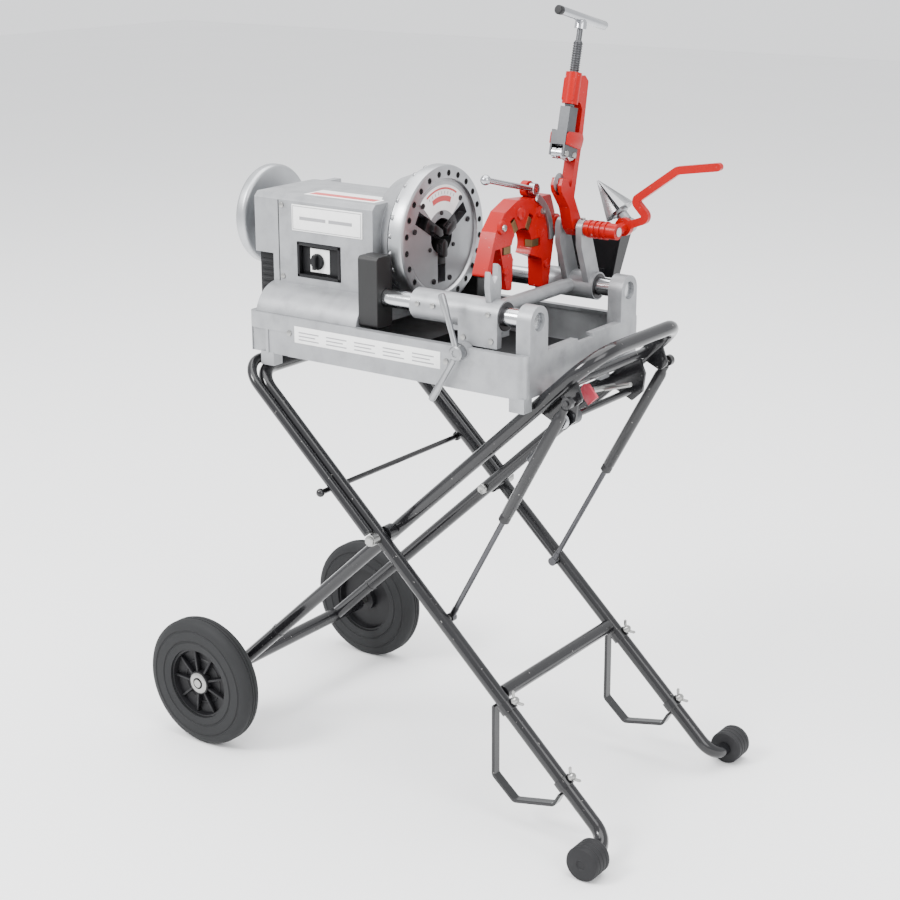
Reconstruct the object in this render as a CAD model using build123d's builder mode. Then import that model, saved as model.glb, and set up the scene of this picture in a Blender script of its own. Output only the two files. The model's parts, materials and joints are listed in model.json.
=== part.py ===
from build123d import *
import os
from math import atan2, cos, degrees, pi, radians, sin

os.makedirs("parts", exist_ok=True)

# ---------------------------------------------------------------------------
# Driving dimensions, millimetres. X runs along the spindle, from the wheels
# to the feet. -Y is the operator's side. Z is up and the floor is at Z = 0.
# ---------------------------------------------------------------------------
fit = 0.05                     # radial clearance of a running fit
gap = 0.3                      # clearance between bodies that do not fit

# Stand
lean = 43.1                    # slope of both tube frames when the stand is open
wheel_radius = 127.0           # 10 inch wheels
wheel_width = 46.0
wheel_y = 259.0
rim_radius = 70.0
hub_radius = 24.0
axle_radius = 8.0
handle_y = 146.0               # handle frame tubes
leg_y = 193.0                  # leg frame tubes
tube_radius = 12.7             # 1 inch tube
tube_wall = 2.0
side_tube_radius = 9.0
axle_to_pivot = 525.0
pivot_to_bar = 385.0           # pivot to the top bar under the machine
pivot_to_grip = 561.0          # pivot to the cross handle
foot_radius = 31.0
foot_inner_y = 238.0
foot_outer_y = 285.0
strut_y = 169.5
strut_lower_run = 190.0        # pivot to the strut's lower end, along the leg
strut_upper_run = 479.0        # pivot to the strut's upper end, along the handle tube
strut_upper_drop = 32.0
strut_radius = 10.3
strut_rod_radius = 5.0
strut_cylinder_length = 262.0
strut_eye_half = 6.0
pivot_bolt_radius = 6.0

# Machine
base_left = -306.0
base_right = 297.0
base_half_width = 190.0
base_bottom = 785.0
base_top = 858.0
base_wall = 8.0
spindle_z = 998.0
spindle_radius = 40.0
bore_radius = 32.0             # passes 2 inch pipe
head_left = -333.0
head_right = -61.0
head_front = -130.0
head_back = 120.0
head_top = 1065.0
head_wall = 6.0
bell_radius = 115.0
bell_front = -41.0
chuck_radius = 127.0
chuck_bore = 97.0
chuck_back = -36.0
chuck_front = -1.0
rear_wheel_radius = 94.0
rear_wheel_left = -416.0
rear_wheel_right = -391.0
rail_radius = 16.0
rail_y = 147.0
rail_z = 911.0
rail_left = -58.0
rail_right = 291.0
hinge_y = 110.0                # bar that the die head, cutter and reamer swing on
hinge_z = 1020.0
hinge_radius = 8.0
gear_module = 2.4
gear_teeth = 72
pinion_teeth = 12
die_x = 149.0
cutter_x = 199.0
reamer_x = 304.0

# Positions that follow from them
run = cos(radians(lean))
rise = sin(radians(lean))
pivot_z = wheel_radius + axle_to_pivot * rise
pivot_to_foot = (pivot_z - foot_radius) / rise
overall_length = (axle_to_pivot + pivot_to_foot) * run + wheel_radius + foot_radius
axle_x = wheel_radius - overall_length / 2
pivot_x = axle_x + axle_to_pivot * run
sides = (("front", -1), ("rear", 1))


def leg_point(along, y=0.0, offset=0.0):
    """A point on the leg frame, from the pivot towards the foot, offset upwards."""
    return (pivot_x + along * run + offset * rise, y, pivot_z - along * rise + offset * run)


def handle_point(along, y=0.0, offset=0.0):
    """A point on the handle frame, from the pivot towards the grip, offset upwards."""
    return (pivot_x + along * run - offset * rise, y, pivot_z + along * rise + offset * run)


def finish(solid, name):
    """Label a finished piece and write it."""
    solid.label = name
    export_step(solid, f"parts/{name}.step")


def tube_along(points, radii, outer, wall):
    """A round tube whose centre follows straight runs joined by bends."""
    with BuildPart() as tube:
        with BuildLine() as route:
            FilletPolyline(*points, radius=radii)
        with BuildSketch(Plane(origin=route.line @ 0, z_dir=route.line % 0)):
            Circle(outer)
            Circle(outer - wall, mode=Mode.SUBTRACT)
        sweep(path=route.line)
    return tube.part


def rod(start, end, radius, bore=0.0):
    """A straight round bar between two points, solid or bored."""
    axis = Vector(*end) - Vector(*start)
    with BuildPart() as bar:
        with BuildSketch(Plane(origin=start, z_dir=axis)):
            Circle(radius)
            if bore > 0:
                Circle(bore, mode=Mode.SUBTRACT)
        extrude(amount=axis.length)
    return bar.part


def block(low, high, edge=0.0):
    """A block between two corners, with its edges rounded along X, Y and Z."""
    size = [high[i] - low[i] for i in range(3)]
    middle = tuple((high[i] + low[i]) / 2 for i in range(3))
    with BuildPart() as body:
        with Locations(middle):
            Box(*size)
        if edge > 0:
            fillet(body.edges(), radius=edge)
    return body.part


# ---------------------------------------------------------------------------
# Stand: leg frame
# ---------------------------------------------------------------------------
foot_corner = leg_point(pivot_to_foot)
foot_x = foot_corner[0]
bar_corner = leg_point(-pivot_to_bar)
bar_x = bar_corner[0]
bar_z = bar_corner[2]

foot_cap = 12.0                # solid end of each rubber foot
leg_route = [
    (foot_x, -foot_outer_y + foot_cap, foot_radius),
    (foot_x, -leg_y, foot_radius),
    (bar_x, -leg_y, bar_z),
    (bar_x, leg_y, bar_z),
    (foot_x, leg_y, foot_radius),
    (foot_x, foot_outer_y - foot_cap, foot_radius),
]
tie_along = -126.0
tie_drop = -20.0
tie_radius = 5.0
leg_tube = tube_along(leg_route, (38, 45, 45, 38), tube_radius, tube_wall)
with BuildPart() as leg_frame_tube:
    add(leg_tube)
    for name, side in sides:
        with BuildSketch(Plane(origin=(0, side * leg_y + 3, 0), x_dir=(1, 0, 0), z_dir=(0, -1, 0))):
            Polygon(
                leg_point(tie_along - 9, 0, -11.5)[0::2],
                leg_point(tie_along + 9, 0, -11.5)[0::2],
                leg_point(tie_along + 9, 0, -28)[0::2],
                leg_point(tie_along - 9, 0, -28)[0::2],
                align=None,
            )
        extrude(amount=6)
        for along in (0, strut_lower_run):
            with Locations(Location(leg_point(along, side * leg_y), (90, 0, 0))):
                Cylinder(pivot_bolt_radius + fit, 4 * tube_radius, mode=Mode.SUBTRACT)
        with Locations(Location(leg_point(tie_along, side * leg_y, tie_drop), (90, 0, 0))):
            Cylinder(tie_radius + fit, 4 * tube_radius, mode=Mode.SUBTRACT)
finish(leg_frame_tube.part, "leg_frame_tube")

side_y = leg_y + tube_radius + side_tube_radius + gap
side_top = pivot_to_bar + tube_radius + side_tube_radius + gap
side_route = [
    leg_point(-14, -side_y),
    leg_point(-side_top, -side_y),
    leg_point(-side_top, side_y),
    leg_point(-14, side_y),
]
cradle_tube = tube_along(side_route, (52, 52), side_tube_radius, tube_wall)
finish(cradle_tube, "cradle_tube")

cross_along = 352.0
cross_reach = leg_y - tube_radius - gap
cross_ends = (leg_point(cross_along, -cross_reach), leg_point(cross_along, cross_reach))
lower_crossbar = rod(*cross_ends, tube_radius, tube_radius - tube_wall)
finish(lower_crossbar, "lower_crossbar")

tie_reach = side_y + side_tube_radius + 6
tie_ends = (leg_point(tie_along, -tie_reach, tie_drop), leg_point(tie_along, tie_reach, tie_drop))
with BuildPart() as tie_rod:
    add(rod(*tie_ends, tie_radius))
    with Locations(*tie_ends):
        Sphere(8)
finish(tie_rod.part, "tie_rod")

with BuildPart() as feet:
    for name, side in sides:
        foot_plane = Plane(origin=(foot_x, side * foot_inner_y, foot_radius), z_dir=(0, side, 0))
        with BuildSketch(foot_plane):
            Circle(foot_radius)
        extrude(amount=foot_outer_y - foot_inner_y)
    chamfer(feet.edges().filter_by(GeomType.CIRCLE), length=2.5)
    for name, side in sides:
        foot_plane = Plane(origin=(foot_x, side * foot_inner_y, foot_radius), z_dir=(0, side, 0))
        with BuildSketch(foot_plane):
            Circle(tube_radius)
        extrude(amount=foot_outer_y - foot_inner_y - foot_cap, mode=Mode.SUBTRACT)
finish(feet.part, "feet")

# Flat-bar pedal loops under the lower legs
stirrup_thickness = 6.0
stirrup_width = 18.0
stirrup_top = 362.0
stirrup_end = 552.0
stirrup_drop = -tube_radius - stirrup_thickness / 2 - 3.5 - gap
with BuildPart() as stirrups:
    for name, side in sides:
        with BuildSketch(Plane.XZ.offset(-side * leg_y - stirrup_width / 2)):
            with BuildLine():
                loop = FilletPolyline(
                    leg_point(stirrup_top, 0, stirrup_drop)[0::2],
                    (foot_x - 234, 92),
                    (foot_x - 190, 54),
                    (foot_x - 108, 72),
                    leg_point(stirrup_end, 0, stirrup_drop)[0::2],
                    radius=10,
                )
                offset(loop, amount=stirrup_thickness / 2, side=Side.BOTH)
            make_face()
        extrude(amount=stirrup_width)
finish(stirrups.part, "stirrups")

# Clamp bands with their wing nuts, pivot bolts with spacer collars, and strut studs
with BuildPart() as stand_fasteners:
    for name, side in sides:
        for along in (stirrup_top + 16, stirrup_end - 12):
            clamp_plane = Plane(origin=leg_point(along - 9, side * leg_y), z_dir=(run, 0, -rise))
            with BuildSketch(clamp_plane):
                Circle(tube_radius + 3.5)
                Circle(tube_radius + fit, mode=Mode.SUBTRACT)
            extrude(amount=18)
            add(rod(leg_point(along, side * leg_y, tube_radius + 2), leg_point(along, side * leg_y, 30), 4))
            add(rod(leg_point(along - 13, side * leg_y, 25), leg_point(along + 13, side * leg_y, 25), 3))
        bolt_inner = handle_y - tube_radius - 7
        bolt_outer = side_y + side_tube_radius + 3
        collar_inner = handle_y + tube_radius + gap
        collar_outer = leg_y - tube_radius - gap
        for start, end, radius in (
            (bolt_inner, bolt_outer, pivot_bolt_radius),
            (collar_inner, collar_outer, 15),
            (bolt_inner - 4, bolt_inner, 11),
            (leg_y + tube_radius + gap, bolt_outer, 11),
        ):
            add(rod((pivot_x, side * start, pivot_z), (pivot_x, side * end, pivot_z), radius))
        stud_inner = side * (strut_y + strut_eye_half + gap)
        stud_outer = side * (leg_y + tube_radius - 1)
        stud_ends = (leg_point(strut_lower_run, stud_inner), leg_point(strut_lower_run, stud_outer))
        add(rod(*stud_ends, pivot_bolt_radius))
finish(stand_fasteners.part, "stand_fasteners")

# ---------------------------------------------------------------------------
# Stand: handle frame and wheels
# ---------------------------------------------------------------------------
handle_route = [
    handle_point(-axle_to_pivot + 6, -handle_y),
    handle_point(pivot_to_grip, -handle_y),
    handle_point(pivot_to_grip, handle_y),
    handle_point(-axle_to_pivot + 6, handle_y),
]
strut_top = handle_point(strut_upper_run, 0, -strut_upper_drop)
axle_tube_reach = wheel_y - wheel_width / 2 - 14
handle_tube = tube_along(handle_route, (62, 62), tube_radius, tube_wall)
axle_tube = rod((axle_x, -axle_tube_reach, wheel_radius), (axle_x, axle_tube_reach, wheel_radius), 14)
with BuildPart() as handle_frame_tube:
    add(handle_tube)
    add(axle_tube)
    with Locations(Location((axle_x, 0, wheel_radius), (90, 0, 0))):
        Cylinder(axle_radius, 4 * wheel_y, mode=Mode.SUBTRACT)
    for name, side in sides:
        with Locations(Location((pivot_x, side * handle_y, pivot_z), (90, 0, 0))):
            Cylinder(pivot_bolt_radius + fit, 4 * tube_radius, mode=Mode.SUBTRACT)
        # bracket and stud for the gas strut
        bracket_y = side * (handle_y - 3) + 3
        with BuildSketch(Plane(origin=(0, bracket_y, 0), x_dir=(1, 0, 0), z_dir=(0, -1, 0))):
            Polygon(
                handle_point(strut_upper_run - 22, 0, -11.5)[0::2],
                handle_point(strut_upper_run + 22, 0, -11.5)[0::2],
                handle_point(strut_upper_run + 10, 0, -strut_upper_drop - 9)[0::2],
                handle_point(strut_upper_run - 10, 0, -strut_upper_drop - 9)[0::2],
                align=None,
            )
        extrude(amount=6)
        stud_start = (strut_top[0], side * (handle_y - 1), strut_top[2])
        stud_end = (strut_top[0], side * (strut_y + 9), strut_top[2])
        add(rod(stud_start, stud_end, 5))
finish(handle_frame_tube.part, "handle_frame_tube")

axle_reach = wheel_y + wheel_width / 2 - 2
wheel_axle = rod((axle_x, -axle_reach, wheel_radius), (axle_x, axle_reach, wheel_radius), axle_radius)
finish(wheel_axle, "wheel_axle")

latch_along = 425.0
latch_pivot = handle_point(latch_along, -102, -42)
with BuildPart() as latch_bar:
    reach = handle_y - tube_radius - gap
    add(rod(handle_point(latch_along - 30, -reach), handle_point(latch_along - 30, reach), 9))
    add(rod(handle_point(latch_along + 45, -reach), handle_point(latch_along + 45, reach), 9))
    for y in (-118, 106):
        with BuildSketch(Plane(origin=(0, y, 0), x_dir=(1, 0, 0), z_dir=(0, -1, 0))):
            Polygon(
                handle_point(latch_along - 38, 0, 4)[0::2],
                handle_point(latch_along + 53, 0, 4)[0::2],
                handle_point(latch_along + 40, 0, -34)[0::2],
                handle_point(latch_along + 14, 0, -56)[0::2],
                handle_point(latch_along - 14, 0, -56)[0::2],
                align=None,
            )
        extrude(amount=6)
    add(rod((latch_pivot[0], -124, latch_pivot[2]), (latch_pivot[0], 106, latch_pivot[2]), 6))
finish(latch_bar.part, "latch_bar")

latch_lever_y = -102.0
latch_tip = handle_point(latch_along - 122, latch_lever_y, -52)
latch_knee = handle_point(latch_along - 40, latch_lever_y, -44)
with BuildPart() as latch_lever:
    add(rod((latch_pivot[0], -112, latch_pivot[2]), (latch_pivot[0], -92, latch_pivot[2]), 14))
    add(rod(latch_pivot, latch_knee, 6))
    add(rod(latch_knee, latch_tip, 6))
    with Locations(latch_knee, latch_tip):
        Sphere(6)
    with Locations(Location(latch_pivot, (90, 0, 0))):
        Cylinder(6 + fit, 60, mode=Mode.SUBTRACT)
finish(latch_lever.part, "latch_lever")

spoke_count = 9
for name, side in sides:
    wheel_plane = Plane(origin=(axle_x, side * wheel_y, wheel_radius), z_dir=(0, side, 0))
    with BuildPart() as rim:
        with BuildSketch(wheel_plane):
            Circle(rim_radius)
        extrude(amount=4, both=True)
        with BuildSketch(wheel_plane):
            Circle(rim_radius)
            Circle(rim_radius - 7, mode=Mode.SUBTRACT)
            Circle(hub_radius)
        extrude(amount=wheel_width / 2 - 6, both=True)
        with BuildSketch(wheel_plane):
            with PolarLocations((rim_radius + hub_radius) / 2 - 2, spoke_count):
                Rectangle(rim_radius - hub_radius, 6)
        extrude(amount=wheel_width / 2 - 12, both=True)
        with BuildSketch(wheel_plane):
            Circle(axle_radius + fit)
        extrude(amount=wheel_width, both=True, mode=Mode.SUBTRACT)
    finish(rim.part, f"wheel_rim_{name}")

    with BuildPart() as tyre:
        with BuildSketch(Plane.XY):
            with Locations((wheel_radius - 28.5, 0)):
                RectangleRounded(57, wheel_width, 11)
            with Locations((rim_radius / 2, 0)):
                Rectangle(rim_radius, 2 * wheel_width, mode=Mode.SUBTRACT)
        revolve(axis=Axis.Y)
    placed_tyre = Pos(axle_x, side * wheel_y, wheel_radius) * tyre.part
    finish(placed_tyre, f"tyre_{name}")

# ---------------------------------------------------------------------------
# Gas struts
# ---------------------------------------------------------------------------
strut_bottom = leg_point(strut_lower_run)
strut_run = Vector(strut_bottom[0] - strut_top[0], 0, strut_bottom[2] - strut_top[2])
strut_dir = strut_run.normalized()
for name, side in sides:
    top = Vector(strut_top[0], side * strut_y, strut_top[2])
    bottom = Vector(strut_bottom[0], side * strut_y, strut_bottom[2])
    cylinder_start = top + strut_dir * 9
    cylinder_end = top + strut_dir * strut_cylinder_length
    with BuildPart() as cylinder:
        add(rod(tuple(cylinder_start), tuple(cylinder_end), strut_radius))
        with Locations(tuple(top)):
            Sphere(9.8)
        with BuildSketch(Plane(origin=cylinder_end, z_dir=strut_dir)):
            Circle(strut_rod_radius + fit)
        extrude(amount=-strut_cylinder_length + 20, mode=Mode.SUBTRACT)
        with Locations(Location((strut_top[0], side * strut_y, strut_top[2]), (90, 0, 0))):
            Cylinder(5 + fit, 40, mode=Mode.SUBTRACT)
    finish(cylinder.part, f"strut_cylinder_{name}")

    rod_start = top + strut_dir * (strut_cylinder_length - 18)
    with BuildPart() as strut_rod:
        add(rod(tuple(rod_start), tuple(bottom - strut_dir * 5), strut_rod_radius))
        add(rod(tuple(bottom - strut_dir * 22), tuple(bottom - strut_dir * 4), 5.7))
        eye_inner = (bottom.X, side * (strut_y - strut_eye_half), bottom.Z)
        eye_outer = (bottom.X, side * (strut_y + strut_eye_half), bottom.Z)
        add(rod(eye_inner, eye_outer, 8.5))
    finish(strut_rod.part, f"strut_rod_{name}")

# ---------------------------------------------------------------------------
# Machine: base, headstock and rails
# ---------------------------------------------------------------------------
base_middle = (base_left + base_right) / 2
base_length = base_right - base_left
pad_bottom = bar_z + tube_radius + gap
post_left = base_right - 28
rest_bottom = 765.0
lever_x = 171.0
lever_z = 851.0
lever_shaft_radius = 7.0
with BuildPart() as base_casting:
    with BuildSketch(Plane.XY.offset(base_bottom)):
        with Locations((base_middle, 0)):
            RectangleRounded(base_length, 2 * base_half_width, 18)
    extrude(amount=base_top - base_bottom)
    with BuildSketch(Plane.XY.offset(base_bottom + 8)):
        with Locations((base_middle, 0)):
            RectangleRounded(base_length - 2 * base_wall, 2 * (base_half_width - base_wall), 12)
    extrude(amount=base_top, mode=Mode.SUBTRACT)
    # rolled rim round the top edge
    with BuildSketch(Plane.XY.offset(base_top - 6)):
        with Locations((base_middle, 0)):
            RectangleRounded(base_length, 2 * base_half_width, 18)
            RectangleRounded(base_length - 28, 2 * base_half_width - 28, 8, mode=Mode.SUBTRACT)
    extrude(amount=6)
    # deck that carries the headstock
    deck_length = head_right - base_left - base_wall
    with Locations((base_left + base_wall + deck_length / 2, 0, base_top - 4)):
        Box(deck_length, 2 * (base_half_width - base_wall), 8)
    # cable and drain pockets at the left of the front wall
    with Locations((base_left + 26, -base_half_width, base_bottom + 22)):
        Box(34, 2 * (base_wall - 3), 44, mode=Mode.SUBTRACT)
    with Locations((base_left + 72, -base_half_width, base_bottom + 22)):
        Box(46, 4, 44, mode=Mode.SUBTRACT)
    # pads under the corners
    pad_height = base_bottom - pad_bottom + 2
    for x in (base_left + 45, base_right - 16):
        for y in (-base_half_width + 13, base_half_width - 13):
            with Locations((x, y, pad_bottom + pad_height / 2)):
                Box(30, 24, pad_height)
    # end posts that hold the rails
    for name, side in sides:
        with BuildSketch(Plane(origin=(post_left, 0, 0), x_dir=(0, 1, 0), z_dir=(1, 0, 0))):
            with Locations((side * rail_y, rail_z)):
                Circle(27)
            with Locations((side * rail_y, (rail_z + base_bottom + 8) / 2)):
                Rectangle(54, rail_z - base_bottom - 8)
            with Locations((side * rail_y, rail_z)):
                Circle(rail_radius + fit, mode=Mode.SUBTRACT)
        extrude(amount=28)
    # rests over the stand's cross bar
    for y in (-75, 75):
        with Locations((base_right - 15, y, (rest_bottom + base_bottom) / 2 + 1)):
            Box(24, 30, base_bottom - rest_bottom + 2)
    # bearing boss for the carriage lever
    add(rod((lever_x, -base_half_width - 3, lever_z), (lever_x, -base_half_width + 15, lever_z), 14))
    with Locations(Location((lever_x, -base_half_width, lever_z), (90, 0, 0))):
        Cylinder(lever_shaft_radius + fit, 40, mode=Mode.SUBTRACT)
    # pull notch in the middle of the right-hand rim
    with Locations((base_right, 0, base_top)):
        Box(60, 50, 14, mode=Mode.SUBTRACT)
finish(base_casting.part, "base_casting")

# Motor below the spindle, with its pinion in mesh with the spindle gear
pitch_sum = gear_module * (gear_teeth + pinion_teeth) / 2
motor_y = -38.0
motor_z = spindle_z - (pitch_sum**2 - motor_y**2) ** 0.5
mesh_angle = degrees(atan2(motor_z - spindle_z, motor_y))
gear_left = head_right - 22
bearing_radius = 54.0
bearing_width = 16.0
bearing_left = (head_left + 11, gear_left - 7 - bearing_width)

flare_top = 905.0
flare_width = 52.0
with BuildPart() as headstock_housing:
    with BuildSketch(Plane(origin=(head_left, 0, 0), x_dir=(0, 1, 0), z_dir=(1, 0, 0))):
        with BuildLine():
            Polyline(
                (head_front, flare_top),
                (head_front, head_top - 9),
                (head_front + 9, head_top),
                (head_back - 90, head_top),
            )
            TangentArc((head_back - 90, head_top), (head_back, head_top - 90), tangent=(1, 0))
            Line((head_back, head_top - 90), (head_back, flare_top))
            RadiusArc((head_back, flare_top), (head_back + flare_width, base_top), 60)
            Line((head_back + flare_width, base_top), (head_front - flare_width, base_top))
            RadiusArc((head_front - flare_width, base_top), (head_front, flare_top), 60)
        make_face()
    extrude(amount=head_right - head_left)
    # round bell behind the chuck
    with BuildSketch(Plane(origin=(head_right - 24, 0, spindle_z), z_dir=(1, 0, 0))):
        Circle(bell_radius - 16)
    with BuildSketch(Plane(origin=(bell_front, 0, spindle_z), z_dir=(1, 0, 0))):
        Circle(bell_radius)
    loft()
    # lower left corner is set back for the motor panel
    with Locations((head_left + 20, head_front - 30, (base_top + 955) / 2)):
        Box(44, 2 * 44, 955 - base_top, mode=Mode.SUBTRACT)
    # inside
    with BuildSketch(Plane(origin=(head_left + head_wall, 0, 0), x_dir=(0, 1, 0), z_dir=(1, 0, 0))):
        with BuildLine():
            Polyline(
                (head_back - 90, head_top - head_wall),
                (head_front + 31, head_top - head_wall),
                (head_front + 31, base_top + head_wall),
                (head_back - head_wall, base_top + head_wall),
                (head_back - head_wall, head_top - 90),
            )
            JernArc((head_back - head_wall, head_top - 90), (0, 1), 84, 90)
        make_face()
    extrude(amount=head_right - head_left - 2 * head_wall, mode=Mode.SUBTRACT)
    with BuildSketch(Plane(origin=(head_right - 24, 0, spindle_z), z_dir=(1, 0, 0))):
        Circle(bell_radius - 22)
    extrude(amount=24 - head_wall, mode=Mode.SUBTRACT)
    with BuildSketch(Plane(origin=(head_right - head_wall - 1, 0, spindle_z), z_dir=(1, 0, 0))):
        Circle(bell_radius - 24)
    extrude(amount=bell_front - head_right + head_wall - 5, mode=Mode.SUBTRACT)
    with Locations(Location(((head_left + bell_front) / 2, 0, spindle_z), (0, 90, 0))):
        Cylinder(spindle_radius + 1, 400, mode=Mode.SUBTRACT)
    # two webs that carry the spindle bearings
    for x in bearing_left:
        with BuildSketch(Plane(origin=(x, 0, 0), x_dir=(0, 1, 0), z_dir=(1, 0, 0))):
            with Locations((-5, (base_top + head_top) / 2)):
                Rectangle(head_back - head_front - 60, head_top - base_top - head_wall)
            with Locations((0, spindle_z)):
                Circle(bearing_radius + fit, mode=Mode.SUBTRACT)
            with Locations((motor_y, motor_z)):
                Circle(18, mode=Mode.SUBTRACT)
        extrude(amount=bearing_width)
    # recess for the switch
    with Locations((-184, head_front, 951)):
        Box(100, 20, 64, mode=Mode.SUBTRACT)
finish(headstock_housing.part, "headstock_housing")

with BuildPart() as motor_panel:
    add(block((head_left + 2, head_front + 10, base_top + 3), (head_left + 41, head_front + 13.7, 953)))
    for index in range(6):
        slat_low = (head_left + 8, head_front + 8.5, base_top + 20 + 13 * index)
        slat_high = (head_left + 35, head_front + 10.5, base_top + 25 + 13 * index)
        add(block(slat_low, slat_high))
finish(motor_panel.part, "motor_panel")

with BuildPart() as switch_plate:
    add(block((-232, head_front + 7, 921), (-136, head_front + 9.7, 981)))
    add(block((-208, head_front + 5.5, 929), (-162, head_front + 7.5, 973)))
    with Locations(Location((-190, head_front, 950), (90, 0, 0))):
        Cylinder(4 + fit, 60, mode=Mode.SUBTRACT)
finish(switch_plate.part, "switch_plate")

with BuildPart() as switch_knob:
    add(rod((-190, head_front - 1, 950), (-190, head_front + 5.2, 950), 15))
    add(block((-194, head_front - 9, 936), (-186, head_front, 964)))
    add(rod((-190, head_front + 4, 950), (-190, head_front + 9, 950), 4))
finish(switch_knob.part, "switch_knob")


def gear_blank(x_start, width, y, z, teeth, first_angle):
    """A spur gear across X with trapezoid teeth, the first tooth at first_angle."""
    pitch = gear_module * teeth / 2
    root = pitch - 1.35 * gear_module
    tip = pitch + 0.9 * gear_module
    step = 2 * pi / teeth
    with BuildPart() as gear:
        with BuildSketch(Plane(origin=(x_start, y, z), x_dir=(0, 1, 0), z_dir=(1, 0, 0))):
            Circle(root)
            with PolarLocations(0, teeth, start_angle=first_angle):
                Polygon(
                    (root - 1, -0.30 * step * pitch),
                    (tip, -0.11 * step * pitch),
                    (tip, 0.11 * step * pitch),
                    (root - 1, 0.30 * step * pitch),
                    align=None,
                )
        extrude(amount=width)
    return gear.part


with BuildPart() as spindle_gear:
    add(gear_blank(gear_left, 14, 0, spindle_z, gear_teeth, mesh_angle))
    with BuildSketch(Plane(origin=(gear_left, 0, spindle_z), z_dir=(1, 0, 0))):
        Circle(spindle_radius + fit)
    extrude(amount=14, mode=Mode.SUBTRACT)
finish(spindle_gear.part, "spindle_gear")

with BuildPart() as motor_pinion:
    half_tooth = 180 / pinion_teeth
    add(gear_blank(gear_left, 14, motor_y, motor_z, pinion_teeth, mesh_angle + 180 + half_tooth))
    add(rod((head_left + 46, motor_y, motor_z), (gear_left + 2, motor_y, motor_z), 6))
finish(motor_pinion.part, "motor_pinion")

with BuildPart() as drive_motor:
    with BuildSketch(Plane(origin=(head_left + 50, motor_y, motor_z), z_dir=(1, 0, 0))):
        Circle(40)
        Circle(6 + fit, mode=Mode.SUBTRACT)
    extrude(amount=150)
    fillet(drive_motor.edges().filter_by(GeomType.CIRCLE).group_by(SortBy.RADIUS)[-1], radius=6)
finish(drive_motor.part, "drive_motor")

with BuildPart() as spindle_bearings:
    for x in bearing_left:
        with BuildSketch(Plane(origin=(x, 0, spindle_z), z_dir=(1, 0, 0))):
            Circle(bearing_radius)
            Circle(spindle_radius + fit, mode=Mode.SUBTRACT)
        extrude(amount=bearing_width)
finish(spindle_bearings.part, "spindle_bearings")

with BuildPart() as spindle_tube:
    with BuildSketch(Plane(origin=(rear_wheel_left + 4, 0, spindle_z), z_dir=(1, 0, 0))):
        Circle(spindle_radius)
        Circle(bore_radius, mode=Mode.SUBTRACT)
    extrude(amount=chuck_back - rear_wheel_left)
finish(spindle_tube.part, "spindle_tube")

with BuildPart() as guide_rails:
    for name, side in sides:
        add(rod((rail_left, side * rail_y, rail_z), (rail_right, side * rail_y, rail_z), rail_radius))
    chamfer(guide_rails.edges().filter_by(GeomType.CIRCLE), length=1)
finish(guide_rails.part, "guide_rails")

with BuildPart() as rail_clamps:
    for name, side in sides:
        with BuildSketch(Plane(origin=(head_right + gap, 0, 0), x_dir=(0, 1, 0), z_dir=(1, 0, 0))):
            with Locations((side * (rail_y + 5), (base_top + 985) / 2)):
                RectangleRounded(44, 985 - base_top - 2 * gap, 8)
            with Locations((side * rail_y, rail_z)):
                Circle(rail_radius + fit, mode=Mode.SUBTRACT)
        extrude(amount=42)
finish(rail_clamps.part, "rail_clamps")

# ---------------------------------------------------------------------------
# Chuck and rear centring head
# ---------------------------------------------------------------------------
jaw_angles = (-90, 30, 150)
jaw_slot = 24.0


def jaw_slots(x_start, depth, reach):
    """Three radial slots across X, cut from x_start through depth."""
    with BuildPart() as slots:
        with BuildSketch(Plane(origin=(x_start, 0, spindle_z), x_dir=(0, 1, 0), z_dir=(1, 0, 0))):
            for angle in jaw_angles:
                with Locations(Location((0, 0), angle)):
                    with Locations((reach / 2, 0)):
                        Rectangle(reach, jaw_slot)
        extrude(amount=depth)
    return slots.part


chuck_body_radius = chuck_bore - fit
with BuildPart() as chuck_body:
    with BuildSketch(Plane(origin=(chuck_back + 0.5, 0, spindle_z), z_dir=(1, 0, 0))):
        Circle(chuck_body_radius)
        Circle(bore_radius, mode=Mode.SUBTRACT)
    extrude(amount=chuck_front - chuck_back - 6)
    add(jaw_slots(chuck_front - 24, 40, 84), mode=Mode.SUBTRACT)
    with BuildSketch(Plane(origin=(chuck_back, 0, spindle_z), z_dir=(1, 0, 0))):
        Circle(spindle_radius + fit)
    extrude(amount=6, mode=Mode.SUBTRACT)
finish(chuck_body.part, "chuck_body")

ring_hole_radius = 4.5
ring_hole_inset = 15.0
ring_hole_count = 24
ring_hole_depth = 10.0
with BuildPart() as chuck_handwheel:
    with BuildSketch(Plane(origin=(chuck_back, 0, spindle_z), z_dir=(1, 0, 0))):
        Circle(chuck_radius)
        Circle(chuck_bore, mode=Mode.SUBTRACT)
    extrude(amount=chuck_front - chuck_back)
    fillet(chuck_handwheel.edges().filter_by(GeomType.CIRCLE).group_by(SortBy.RADIUS)[-1], radius=5)
    with BuildSketch(Plane(origin=(chuck_front, 0, spindle_z), z_dir=(1, 0, 0))):
        with PolarLocations(chuck_radius - ring_hole_inset, ring_hole_count, start_angle=7.5):
            Circle(ring_hole_radius)
    extrude(amount=-ring_hole_depth, mode=Mode.SUBTRACT)
finish(chuck_handwheel.part, "chuck_handwheel")

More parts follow.
